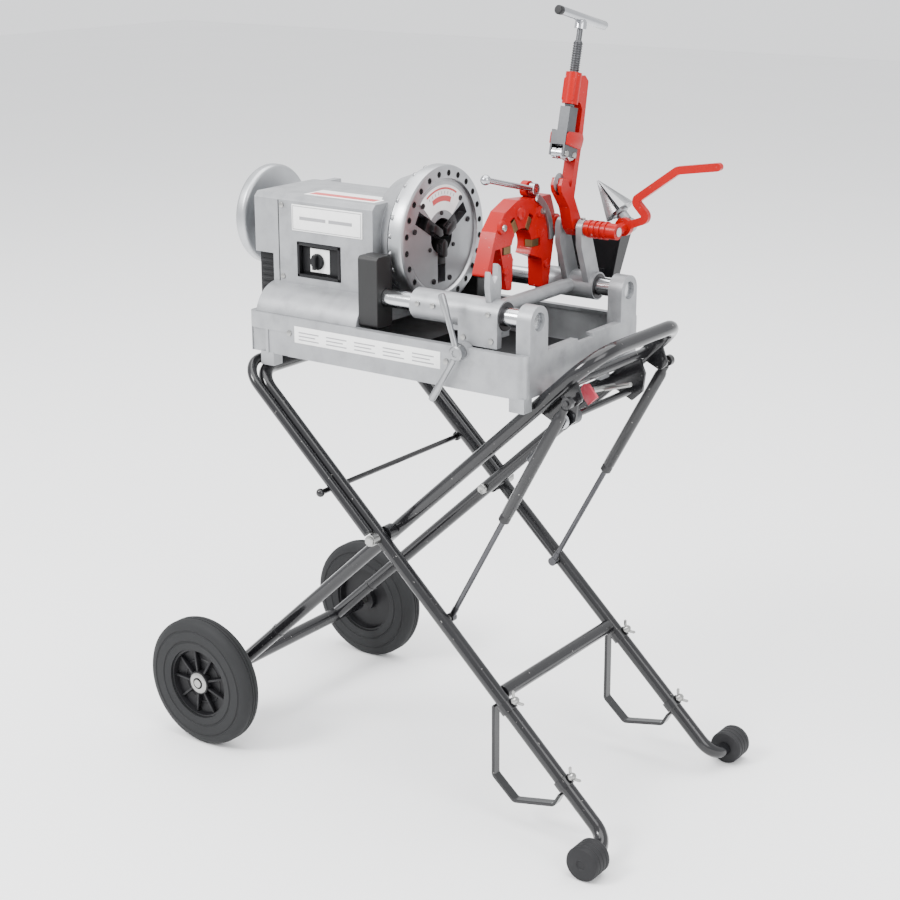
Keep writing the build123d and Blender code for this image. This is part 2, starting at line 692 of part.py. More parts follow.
for index, angle in enumerate(jaw_angles):
    jaw_plane = Plane(
        origin=(chuck_front - 23, 0, spindle_z),
        x_dir=(0, cos(radians(angle)), sin(radians(angle))),
        z_dir=(1, 0, 0),
    )
    with BuildPart() as jaw:
        with BuildSketch(jaw_plane):
            Polygon(
                (5, 0),
                (14, -jaw_slot / 2 + gap),
                (52, -jaw_slot / 2 + gap),
                (52, jaw_slot / 2 - gap),
                (14, jaw_slot / 2 - gap),
                align=None,
            )
        extrude(amount=26)
    finish(jaw.part, f"chuck_jaw_{index + 1}")

with BuildPart() as rear_handwheel:
    with BuildSketch(Plane(origin=(rear_wheel_left, 0, spindle_z), z_dir=(1, 0, 0))):
        Circle(rear_wheel_radius)
        Circle(spindle_radius + fit, mode=Mode.SUBTRACT)
    extrude(amount=rear_wheel_right - rear_wheel_left)
    fillet(rear_handwheel.edges().filter_by(GeomType.CIRCLE).group_by(SortBy.RADIUS)[-1], radius=8)
    add(jaw_slots(rear_wheel_left - 4, 12, 89), mode=Mode.SUBTRACT)
    knob_y = 70 * cos(radians(110))
    knob_z = spindle_z + 70 * sin(radians(110))
    add(rod((rear_wheel_left - 14, knob_y, knob_z), (rear_wheel_left + 6, knob_y, knob_z), 8))
finish(rear_handwheel.part, "rear_handwheel")

for index, angle in enumerate(jaw_angles):
    jaw_plane = Plane(
        origin=(rear_wheel_left - 4, 0, spindle_z),
        x_dir=(0, cos(radians(angle)), sin(radians(angle))),
        z_dir=(1, 0, 0),
    )
    with BuildPart() as rear_jaw:
        with BuildSketch(jaw_plane):
            with Locations((47, 0)):
                Rectangle(26, jaw_slot - 2 * gap - 4)
        extrude(amount=7)
    finish(rear_jaw.part, f"rear_jaw_{index + 1}")

# ---------------------------------------------------------------------------
# Carriage
# ---------------------------------------------------------------------------
front_left = 50.0
front_right = 231.0
apron_left = 152.0
bridge_x = 184.0
with BuildPart() as carriage_front:
    add(rod((front_left, -rail_y, rail_z), (front_right, -rail_y, rail_z), 27))
    add(block((apron_left, -174, base_top + 2), (front_right, -160, rail_z)))
    add(block((front_right - 106, -157, 877), (front_right, -137, rail_z - 20)))
    add(rod((bridge_x, -rail_y, rail_z), (bridge_x, -gap / 2, rail_z), 13))
    with Locations(Location((0, -rail_y, rail_z), (0, 90, 0))):
        Cylinder(rail_radius + fit, 600, mode=Mode.SUBTRACT)
finish(carriage_front.part, "carriage_front")

rear_left = 112.0
rear_right = 234.0
with BuildPart() as carriage_rear:
    add(rod((rear_left, rail_y, rail_z), (rear_right, rail_y, rail_z), 25))
    add(rod((bridge_x, gap / 2, rail_z), (bridge_x, rail_y, rail_z), 12.5))
    for x, width in ((112, 12), (172, 11), (215, 12)):
        with BuildSketch(Plane(origin=(x, 0, 0), x_dir=(0, 1, 0), z_dir=(1, 0, 0))):
            Polygon(
                (127, rail_z),
                (hinge_y - 14, hinge_z - 30),
                (hinge_y - 15, hinge_z),
                (hinge_y + 15, hinge_z),
                (168, rail_z),
                align=None,
            )
            with Locations((hinge_y, hinge_z)):
                Circle(15)
        extrude(amount=width)
    with Locations(Location((0, rail_y, rail_z), (0, 90, 0))):
        Cylinder(rail_radius + fit, 600, mode=Mode.SUBTRACT)
    with Locations(Location((0, hinge_y, hinge_z), (0, 90, 0))):
        Cylinder(hinge_radius + fit, 600, mode=Mode.SUBTRACT)
finish(carriage_rear.part, "carriage_rear")

hinge_bar_right = 294.0
tool_hinge_bar = rod((rear_left - 6, hinge_y, hinge_z), (hinge_bar_right, hinge_y, hinge_z), hinge_radius)
finish(tool_hinge_bar, "tool_hinge_bar")

tray_x = 184.0
with BuildPart() as rear_tray:
    for shrink, mode in ((0, Mode.ADD), (3, Mode.SUBTRACT)):
        with BuildSketch(Plane.XY.offset(1005)):
            with Locations((tray_x, 206)):
                Rectangle(142 - 2 * shrink, 40 - 2 * shrink)
        with BuildSketch(Plane.XY.offset(918 + shrink)):
            with Locations((tray_x - 4, 202)):
                Rectangle(114 - 2 * shrink, 26 - 2 * shrink)
        loft(mode=mode)
    add(block((tray_x - 40, rail_y + 25 + gap, 922), (tray_x + 36, 190, 934)))
finish(rear_tray.part, "rear_tray")

lever_y = -203.0
pinion_radius = 25.5
arm_length = 104.0
arm_radius = 6.5
with BuildPart() as carriage_lever:
    add(rod((lever_x, lever_y - 8, lever_z), (lever_x, lever_y + 8, lever_z), 13))
    for angle in (107, -120):
        reach_x = arm_length * cos(radians(angle))
        reach_z = arm_length * sin(radians(angle))
        arm_start = (lever_x, lever_y, lever_z)
        arm_end = (lever_x + reach_x, lever_y - 5, lever_z + reach_z)
        add(rod(arm_start, arm_end, arm_radius))
    add(rod((lever_x, lever_y, lever_z), (lever_x, -142, lever_z), lever_shaft_radius))
    add(rod((lever_x, -156, lever_z), (lever_x, -142, lever_z), pinion_radius))
finish(carriage_lever.part, "carriage_lever")

# ---------------------------------------------------------------------------
# Die head, swung down round the spindle line
# ---------------------------------------------------------------------------
die_thick = 30.0
die_left = die_x - die_thick / 2
die_bore = 31.5
chaser_angles = (0, 60, 120, 180)
chaser_width = 14.0
lug_y = 50.0
lug_z = 1090.0
with BuildPart() as die_head_body:
    with BuildSketch(Plane(origin=(die_left, 0, 0), x_dir=(0, 1, 0), z_dir=(1, 0, 0))):
        with BuildLine():
            FilletPolyline(
                (-108, 962),
                (-96, 958),
                (-82, 1004),
                (-66, 1004),
                (-46, 928),
                (-30, 926),
                (-26, 980),
                (26, 980),
                (66, 966),
                (70, 912),
                (88, 912),
                (hinge_y - 4, 1002),
                (hinge_y - 4, 1044),
                (92, 1077),
                (46, 1076),
                (-12, 1080),
                (-52, 1064),
                (-80, 1034),
                radius=4,
                close=True,
            )
        make_face()
        # hinge lug
        with Locations((hinge_y, hinge_z)):
            Circle(20)
        with Locations((lug_y, lug_z)):
            Circle(14)
        with Locations((hinge_y, hinge_z)):
            Circle(hinge_radius + fit, mode=Mode.SUBTRACT)
        # bore for the pipe, open below
        with Locations((0, spindle_z)):
            Circle(die_bore, mode=Mode.SUBTRACT)
    extrude(amount=die_thick)
    # the throw lever's lug is half as thick
    with Locations((die_x + 6.4, lug_y, lug_z + 2)):
        Box(die_thick - 12.8, 40, 26, mode=Mode.SUBTRACT)
    add(rod((die_x - 8, lug_y, lug_z), (die_x + 12, lug_y, lug_z), 4))
    for angle in chaser_angles:
        slot_plane = Plane(
            origin=(die_x, 0, spindle_z),
            x_dir=(0, cos(radians(angle)), sin(radians(angle))),
            z_dir=(1, 0, 0),
        )
        with BuildSketch(slot_plane):
            with Locations((44, 0)):
                Rectangle(32, chaser_width)
        extrude(amount=die_thick, mode=Mode.SUBTRACT)
finish(die_head_body.part, "die_head_body")

for index, angle in enumerate(chaser_angles):
    slot_plane = Plane(
        origin=(die_x + gap, 0, spindle_z),
        x_dir=(0, cos(radians(angle)), sin(radians(angle))),
        z_dir=(1, 0, 0),
    )
    with BuildPart() as chaser:
        with BuildSketch(slot_plane):
            with Locations((43.5, 0)):
                Rectangle(22, chaser_width - 2 * gap)
        extrude(amount=die_thick / 2 - gap)
    finish(chaser.part, f"die_chaser_{index + 1}")

cam_inner = 84.0
cam_outer = 97.0
cam_sweep = 62.0
cam_end = (cos(radians(cam_sweep)), sin(radians(cam_sweep)))
cam_plane = Plane(
    origin=(die_x + die_thick / 2 + gap, 0, spindle_z),
    x_dir=(0, 1, 0),
    z_dir=(1, 0, 0),
)
with BuildPart() as die_cam_plate:
    with BuildSketch(cam_plane):
        with BuildLine():
            CenterArc((0, 0), cam_outer, 0, cam_sweep)
            CenterArc((0, 0), cam_inner, 0, cam_sweep)
            Line((cam_inner, 0), (cam_outer, 0))
            Line(
                (cam_inner * cam_end[0], cam_inner * cam_end[1]),
                (cam_outer * cam_end[0], cam_outer * cam_end[1]),
            )
        make_face()
    extrude(amount=5)
    with Locations(Location((0, hinge_y, hinge_z), (0, 90, 0))):
        Cylinder(hinge_radius + 4, 600, mode=Mode.SUBTRACT)
finish(die_cam_plate.part, "die_cam_plate")

throw_x = die_x + 6.5
throw_ball = (throw_x, -99, 1125)
throw_knee = (throw_x, -45, 1112)
with BuildPart() as die_throw_lever:
    add(rod((throw_x - 6, lug_y, lug_z), (throw_x + 6, lug_y, lug_z), 11))
    add(rod((throw_x, lug_y, lug_z), throw_knee, 5.5))
    add(rod(throw_knee, throw_ball, 5.4))
    with Locations(throw_ball):
        Sphere(9)
    with Locations(Location((throw_x, lug_y, lug_z), (0, 90, 0))):
        Cylinder(4 + fit, 60, mode=Mode.SUBTRACT)
finish(die_throw_lever.part, "die_throw_lever")

# ---------------------------------------------------------------------------
# Cutter, swung up. Its own plane has u along the feed screw and v towards the
# spine, and the pipe would lie at (0, 0)
# ---------------------------------------------------------------------------
cut_y = 66.5
cut_z = 1123.4
screw_y = 0.2277
screw_z = (1 - screw_y**2) ** 0.5
cut_plane = Plane(origin=(cutter_x, cut_y, cut_z), x_dir=(0, screw_z, -screw_y), z_dir=(1, 0, 0))
screw_axis = cut_plane.y_dir


def cut_point(v, u, x=cutter_x):
    """A point of the cutter from its own v and u."""
    return tuple(Vector(x, cut_y, cut_z) + cut_plane.x_dir * v + screw_axis * u)


def cut_face(x):
    """The cutter's plane moved along the spindle to x."""
    return Plane(origin=(x, cut_y, cut_z), x_dir=cut_plane.x_dir, z_dir=(1, 0, 0))


hinge_offset = Vector(0, hinge_y - cut_y, hinge_z - cut_z)
hinge_v = hinge_offset.dot(cut_plane.x_dir)
hinge_u = hinge_offset.dot(screw_axis)
wheel_u = -20.0
roller_v = 13.0
roller_u = 30.0
spine_half = 11.0
screw_radius = 8.5
with BuildPart() as cutter_frame:
    with BuildSketch(cut_face(cutter_x - spine_half)):
        with BuildLine():
            FilletPolyline(
                (-12, 120),
                (-12, 158),
                (20, 168),
                (34, 160),
                (40, 60),
                (40, -40),
                (hinge_v + 16, hinge_u + 6),
                (hinge_v + 4, hinge_u - 16),
                (hinge_v - 15, hinge_u - 4),
                (28, -60),
                (-4, -36),
                (-9, -26),
                (-6, -12),
                (8, -12),
                (25.5, -30),
                (25.5, 110),
                (16, 120),
                radius=3,
                close=True,
            )
        make_face()
        with Locations((hinge_v, hinge_u)):
            Circle(hinge_radius + fit, mode=Mode.SUBTRACT)
    extrude(amount=2 * spine_half)
    # slot for the cutter wheel
    with BuildSketch(cut_face(cutter_x - 3.2)):
        with Locations((0, -18)):
            Rectangle(42, 46)
    extrude(amount=6.4, mode=Mode.SUBTRACT)
    add(rod(cut_point(0, wheel_u, cutter_x - 10), cut_point(0, wheel_u, cutter_x + 10), 3))
    # nut for the feed screw
    add(rod(cut_point(0, 115), cut_point(0, 169), 14))
    add(rod(cut_point(0, 113), cut_point(0, 171), screw_radius + fit), mode=Mode.SUBTRACT)
finish(cutter_frame.part, "cutter_frame")

cutter_wheel_start = cut_point(0, wheel_u, cutter_x - 2.5)
cutter_wheel_end = cut_point(0, wheel_u, cutter_x + 2.5)
cutter_wheel = rod(cutter_wheel_start, cutter_wheel_end, 17, 3 + fit)
sharp_wheel = chamfer(cutter_wheel.edges().group_by(SortBy.LENGTH)[-1], length=2)
finish(sharp_wheel, "cutter_wheel")

with BuildPart() as cutter_slide:
    with BuildSketch(cut_face(cutter_x - 10)):
        with Locations((0, 76)):
            Rectangle(26, 68)
        with Locations((2, 56)):
            Rectangle(43, 24)
    extrude(amount=20)
    for x in (cutter_x - 15, cutter_x + 11.3):
        with BuildSketch(cut_face(x)):
            with Locations((0, 47)):
                Rectangle(44, 44)
        extrude(amount=3.7)
    with BuildSketch(cut_face(cutter_x - 15)):
        with Locations((0, 56)):
            Rectangle(44, 24)
    extrude(amount=30)
    for v in (-roller_v, roller_v):
        add(rod(cut_point(v, roller_u, cutter_x - 14), cut_point(v, roller_u, cutter_x + 14), 3))
finish(cutter_slide.part, "cutter_slide")

for index, v in enumerate((-roller_v, roller_v)):
    start = cut_point(v, roller_u, cutter_x - 10.9)
    end = cut_point(v, roller_u, cutter_x + 10.9)
    finish(rod(start, end, 11, 3 + fit), f"cutter_roller_{index + 1}")

bar_reach = 80.0
bar_u = 262.0
with BuildPart() as cutter_feed_screw:
    add(rod(cut_point(0, 110 + gap), cut_point(0, 220), screw_radius))
    add(rod(cut_point(0, 219), cut_point(0, bar_u), 5))
    add(rod(cut_point(-bar_reach, bar_u), cut_point(bar_reach, bar_u), 8))
finish(cutter_feed_screw.part, "cutter_feed_screw")

# ---------------------------------------------------------------------------
# Reamer, swung back
# ---------------------------------------------------------------------------
reamer_hub_x = 282.0
reamer_hub_z = 1023.0
arm_y = 148.0
head_y = 166.0
reamer_route = ((290, 1026), (331, 1042), (302, 1071), (385, 1131), (460, 1143))
with BuildPart() as reamer_arm:
    add(rod((228, hinge_y, hinge_z), (reamer_hub_x + 10, hinge_y, hinge_z), 14))
    for index in range(4):
        ridge_x = 234 + 11 * index
        add(rod((ridge_x, hinge_y, hinge_z), (ridge_x + 5, hinge_y, hinge_z), 16))
    add(rod((reamer_hub_x, hinge_y, hinge_z), (reamer_hub_x, arm_y + 6, reamer_hub_z), 9.5))
    add(rod((reamer_hub_x, arm_y - 6, reamer_hub_z), (reamer_hub_x, arm_y + 6, reamer_hub_z), 16))
    add(rod((reamer_hub_x, arm_y, reamer_hub_z), (reamer_hub_x, head_y + 6, reamer_hub_z), 6))
    with BuildSketch(Plane.XZ.offset(-arm_y - 5.5)):
        with BuildLine():
            handle_line = FilletPolyline(*reamer_route, radius=8)
            offset(handle_line, amount=7, side=Side.BOTH)
        make_face()
    extrude(amount=11)
    with Locations(Location((0, hinge_y, hinge_z), (0, 90, 0))):
        Cylinder(hinge_radius + fit, 2 * reamer_hub_x + 60, mode=Mode.SUBTRACT)
finish(reamer_arm.part, "reamer_arm")

reamer_dir = Vector(-0.68, 0, 0.733)
reamer_hub = Vector(reamer_hub_x, head_y, reamer_hub_z)
cone_base = reamer_hub + reamer_dir * 30
cone_length = 71.0
with BuildPart() as reamer_head:
    add(rod((reamer_hub_x, head_y - 7.7, reamer_hub_z), (reamer_hub_x, head_y + 6, reamer_hub_z), 13))
    add(rod(tuple(reamer_hub), tuple(cone_base + reamer_dir), 11))
    with BuildSketch(Plane(origin=cone_base, z_dir=reamer_dir)):
        Circle(30)
    with BuildSketch(Plane(origin=cone_base + reamer_dir * cone_length, z_dir=reamer_dir)):
        Circle(1)
    loft()
    with Locations(Location((reamer_hub_x, head_y, reamer_hub_z), (90, 0, 0))):
        Cylinder(6 + fit, 40, mode=Mode.SUBTRACT)
finish(reamer_head.part, "reamer_head")
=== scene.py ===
"""Looks of a pipe threading machine on its folding wheel stand.

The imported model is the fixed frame. Each sub-assembly below is a class that builds
its finer meshes round that frame and dresses them, and each finish is a small class.
Lengths are metres, X runs along the spindle, -Y is the operator's side, Z is up.
"""

from __future__ import annotations

import json
import logging
import math
from collections.abc import Iterable, Sequence
from dataclasses import dataclass
from enum import Enum
from functools import cache

import bmesh
import bpy
from mathutils import Matrix, Vector


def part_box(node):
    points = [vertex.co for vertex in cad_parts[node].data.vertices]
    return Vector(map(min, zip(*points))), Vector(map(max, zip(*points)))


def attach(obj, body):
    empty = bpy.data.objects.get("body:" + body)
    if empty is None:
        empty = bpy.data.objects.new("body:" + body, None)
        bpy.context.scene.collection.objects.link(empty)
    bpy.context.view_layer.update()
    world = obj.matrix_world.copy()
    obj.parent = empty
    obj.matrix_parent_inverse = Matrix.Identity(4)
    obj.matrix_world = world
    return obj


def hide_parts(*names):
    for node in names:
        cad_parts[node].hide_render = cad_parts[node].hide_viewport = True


LOG = logging.getLogger("threading_machine")
MM = 0.001
GAP = 0.3 * MM
SPINDLE_Z = 998 * MM
JAW_ANGLES = (-90, 30, 150)
AXIS_X = Vector((1, 0, 0))
AXIS_Y = Vector((0, 1, 0))
AXIS_Z = Vector((0, 0, 1))
SIDES = (("front", -1), ("rear", 1))

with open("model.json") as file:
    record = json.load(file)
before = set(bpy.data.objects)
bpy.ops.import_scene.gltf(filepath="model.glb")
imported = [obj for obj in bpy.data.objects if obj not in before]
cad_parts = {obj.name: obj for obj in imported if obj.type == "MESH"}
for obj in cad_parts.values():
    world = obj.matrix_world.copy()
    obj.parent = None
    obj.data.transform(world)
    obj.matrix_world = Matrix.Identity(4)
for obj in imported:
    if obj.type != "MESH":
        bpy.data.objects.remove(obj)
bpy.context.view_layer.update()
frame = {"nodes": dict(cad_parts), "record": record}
JOINTS = {joint["name"]: joint for joint in frame["record"]["behaviour"]["joints"]}

Point = Sequence[float]


def joint_at(name: str) -> Vector:
    """Finds where a hinge sits.

    Args:
        name: The joint's name in the record.

    Returns:
        Its position in the row frame.
    """
    return Vector(JOINTS[name]["pos_m"])


# ---------------------------------------------------------------------------
# Shader sums
# ---------------------------------------------------------------------------


class Wire:
    """A node's output that can be used in Python sums, which add Math nodes."""

    def __init__(self, graph: "Graph", socket: bpy.types.NodeSocket) -> None:
        """Wraps one output socket of a graph."""
        self.graph = graph
        self.socket = socket

    def _sum(self, operation: str, first: "Wire | float", second: "Wire | float") -> "Wire":
        """Adds a Math node and returns its output."""
        node = self.graph.node("ShaderNodeMath", {"operation": operation}, {0: first, 1: second})
        return Wire(self.graph, node.outputs[0])

    def __add__(self, other: "Wire | float") -> "Wire":
        """Adds."""
        return self._sum("ADD", self, other)

    __radd__ = __add__

    def __sub__(self, other: "Wire | float") -> "Wire":
        """Subtracts."""
        return self._sum("SUBTRACT", self, other)

    def __rsub__(self, other: float) -> "Wire":
        """Subtracts from a number."""
        return self._sum("SUBTRACT", other, self)

    def __mul__(self, other: "Wire | float") -> "Wire":
        """Multiplies."""
        return self._sum("MULTIPLY", self, other)

    __rmul__ = __mul__

    def __pow__(self, other: float) -> "Wire":
        """Raises to a power."""
        return self._sum("POWER", self, other)

    def above(self, level: float) -> "Wire":
        """Gives 1 where the value is above a level and 0 elsewhere."""
        return self._sum("GREATER_THAN", self, level)


class Graph:
    """The node tree of one material, with its Principled shader."""

    def __init__(self, name: str) -> None:
        """Starts a material with a bare Principled shader."""
        self.material = bpy.data.materials.new(name)
        self.material.use_nodes = True
        self.tree = self.material.node_tree
        self.shader = self.tree.nodes["Principled BSDF"]

    def node(self, kind: str, settings: dict | None = None, sockets: dict | None = None) -> bpy.types.Node:
        """Adds one node.

        Args:
            kind: The node's type name.
            settings: Its properties, and "stops" for a ramp's (position, colour) pairs.
            sockets: Values or wires for its inputs, by name or index.

        Returns:
            The new node.
        """
        made = self.tree.nodes.new(kind)
        for key, value in (settings or {}).items():
            if key == "stops":
                ramp = made.color_ramp
                while len(ramp.elements) < len(value):
                    ramp.elements.new(1.0)
                for element, (position, colour) in zip(ramp.elements, value):
                    element.position = position
                    element.color = (*colour, 1.0)
            else:
                setattr(made, key, value)
        for key, value in (sockets or {}).items():
            self.feed(made.inputs[key], value)
        return made

    def feed(self, socket: bpy.types.NodeSocket, value: object) -> None:
        """Links a wire to an input, or sets it to a value."""
        if isinstance(value, Wire):
            self.tree.links.new(value.socket, socket)
        else:
            socket.default_value = value

    def place(self, stretch: Point = (1, 1, 1), centre: Point = (0, 0, 0)) -> Wire:
        """Gives object coordinates moved to a centre and stretched."""
        coordinates = self.node("ShaderNodeTexCoord")
        shift = [-c * s for c, s in zip(centre, stretch)]
        mapping = self.node(
            "ShaderNodeMapping",
            {},
            {"Vector": Wire(self, coordinates.outputs["Object"]), "Location": shift, "Scale": stretch},
        )
        return Wire(self, mapping.outputs[0])

    def noise(self, scale: float, detail: float = 4.0, stretch: Point = (1, 1, 1)) -> Wire:
        """Gives cloudy noise.

        Args:
            scale: Clouds per metre.
            detail: Octaves of finer noise.
            stretch: Scale along each axis.

        Returns:
            The noise, from 0 to 1.
        """
        node = self.node(
            "ShaderNodeTexNoise",
            {},
            {"Vector": self.place(stretch), "Scale": scale, "Detail": detail},
        )
        return Wire(self, node.outputs[0])

    def mix(self, factor: Wire, low: Point | Wire, high: Point | Wire) -> Wire:
        """Mixes two colours by a factor."""
        sides = [value if isinstance(value, Wire) else (*value, 1.0) for value in (low, high)]
        node = self.node(
            "ShaderNodeMix",
            {"data_type": "RGBA", "clamp_factor": True},
            {0: factor, 6: sides[0], 7: sides[1]},
        )
        return Wire(self, node.outputs[2])

    def relief(self, height: Wire, depth: float, strength: float = 1.0) -> None:
        """Bumps the surface by a height map of a depth in metres."""
        bump = self.node("ShaderNodeBump", {}, {"Height": height, "Distance": depth, "Strength": strength})
        self.feed(self.shader.inputs["Normal"], Wire(self, bump.outputs[0]))

    def set(self, **values: object) -> None:
        """Sets or links shader inputs, with underscores for spaces in their names."""
        for key, value in values.items():
            self.feed(self.shader.inputs[key.replace("_", " ")], value)


# ---------------------------------------------------------------------------
# Finishes
# ---------------------------------------------------------------------------


@dataclass(frozen=True)
class Finish:
    """A surface finish that varies between two colours.

    Attributes:
        name: The material's name.
        slot: The record's material slot that it belongs to. Nothing in the script reads it.
        colour: The main colour.
        shade: The colour that stains and worn places tend to.
        rough: The middle roughness.
    """

    name: str
    slot: str
    colour: tuple[float, float, float]
    shade: tuple[float, float, float]
    rough: float

    @cache
    def build(self) -> bpy.types.Material:
        """Makes the material, once.

        Returns:
            The material, with its nodes.
        """
        graph = Graph(self.name)
        self.paint(graph)
        return graph.material

    def paint(self, graph: Graph) -> None:
        """Wires the finish. Each kind of finish has its own."""
        raise NotImplementedError


@dataclass(frozen=True)
class Enamel(Finish):
    """Gloss paint with faint orange peel, dust and small chips.

    Attributes:
        chips: The share of the surface that is chipped.
        peel: Depth of the orange peel.
        coat: Strength of the clear coat.
        shine: Strength of the paint's own reflection.
    """

    chips: float = 0.02
    peel: float = 0.00012
    coat: float = 0.12
    shine: float = 0.4

    def paint(self, graph: Graph) -> None:
        """Wires the paint."""
        cloud = graph.noise(14, 5)
        grain = graph.noise(900, 2)
        speck = graph.noise(160, 3)
        chip = speck.above(0.74 - self.chips)
        body = graph.mix(cloud, self.colour, self.shade)
        graph.set(
            Base_Color=graph.mix(chip * 0.6, body, (0.25, 0.24, 0.23)),
            Roughness=self.rough + (cloud - 0.5) * 0.22 + chip * 0.3,
            Coat_Weight=self.coat + chip * -0.05,
            Coat_Roughness=0.08,
            Specular_IOR_Level=self.shine,
        )
        graph.relief(grain * 0.35 + graph.noise(210, 2), self.peel, 0.35)


@dataclass(frozen=True)
class CastPaint(Finish):
    """Silver paint over a sand casting: fine pebbled skin with grime in the lows.

    Attributes:
        metal: How metallic the paint looks.
        pebble: Depth of the cast skin.
    """

    metal: float = 0.45
    pebble: float = 0.0004

    def paint(self, graph: Graph) -> None:
        """Wires the cast skin."""
        cloud = graph.noise(9, 6)
        pebbles = graph.noise(520, 3)
        stain = (graph.noise(34, 6) ** 3.0) * 1.6
        body = graph.mix(cloud, self.colour, self.shade)
        graph.set(
            Base_Color=graph.mix(stain, body, tuple(c * 0.62 for c in self.shade)),
            Roughness=self.rough + (cloud - 0.5) * 0.2 + pebbles * 0.08,
            Metallic=self.metal,
        )
        graph.relief(pebbles + cloud * 0.6, self.pebble, 0.5)


class Lay(Enum):
    """The way tool marks run over machined metal."""

    ALONG_X = (6.0, 400.0, 400.0)
    ALONG_Z = (400.0, 400.0, 6.0)
    EVERY_WAY = (160.0, 160.0, 160.0)


@dataclass(frozen=True)
class ToolMarks(Finish):
    """Bare metal with fine tool marks, smears of oil and light scratches.

    Attributes:
        lay: The way the marks run.
        scratch: Depth of the marks.
    """

    lay: Lay = Lay.EVERY_WAY
    scratch: float = 0.00006

    def paint(self, graph: Graph) -> None:
        """Wires the metal."""
        marks = graph.noise(1.0, 3, self.lay.value)
        smear = graph.noise(22, 5)
        graph.set(
            Base_Color=graph.mix(smear * 0.7 + marks * 0.3, self.colour, self.shade),
            Metallic=1.0,
            Roughness=self.rough + (smear - 0.5) * 0.24 + (marks - 0.5) * 0.14,
        )
        graph.relief(marks, self.scratch, 0.6)


@dataclass(frozen=True)
class FacedMetal(Finish):
    """Metal faced on a lathe: rings round the spindle line.

    Attributes:
        height: Height of the spindle line.
        pitch: Rings per metre.
    """

    height: float = SPINDLE_Z
    pitch: float = 420.0

    def paint(self, graph: Graph) -> None:
        """Wires the rings."""
        wave = graph.node(
            "ShaderNodeTexWave",
            {"wave_type": "RINGS", "rings_direction": "X"},
            {
                "Vector": graph.place((1, 1, 1), (0, 0, self.height)),
                "Scale": self.pitch,
                "Distortion": 1.5,
                "Detail": 2.0,
            },
        )
        rings = Wire(graph, wave.outputs[1])
        smear = graph.noise(26, 5)
        graph.set(
            Base_Color=graph.mix(smear * 0.75 + rings * 0.15, self.colour, self.shade),
            Metallic=1.0,
            Roughness=self.rough + (smear - 0.5) * 0.22 + rings * 0.05,
        )
        graph.relief(rings * 0.5 + graph.noise(420, 3), 0.00005, 0.5)


@dataclass(frozen=True)
class Moulded(Finish):
    """Rubber or plastic with a fine moulded grain and pale dust.

    Attributes:
        grain: Grains per metre.
        depth: Depth of the grain.
        dust: How much dust lies on it.
    """

    grain: float = 700.0
    depth: float = 0.0002
    dust: float = 0.35

    def paint(self, graph: Graph) -> None:
        """Wires the moulded skin."""
        grain = graph.noise(self.grain, 3)
        cloud = graph.noise(18, 6)
        dust = (cloud ** 2.0) * self.dust
        graph.set(
            Base_Color=graph.mix(dust + grain * 0.12, self.colour, self.shade),
            Roughness=self.rough + (grain - 0.5) * 0.16 + dust * 0.2,
            Specular_IOR_Level=0.25,
        )
        graph.relief(grain, self.depth, 0.5)


@dataclass(frozen=True)
class Printed(Finish):
    """A printed label under a thin varnish, with faint scuffs."""

    def paint(self, graph: Graph) -> None:
        """Wires the label."""
        scuff = graph.noise(60, 6)
        graph.set(
            Base_Color=graph.mix(scuff ** 2.0, self.colour, self.shade),
            Roughness=self.rough + (scuff - 0.5) * 0.2,
        )
        graph.relief(graph.noise(800, 2), 0.00003, 0.4)


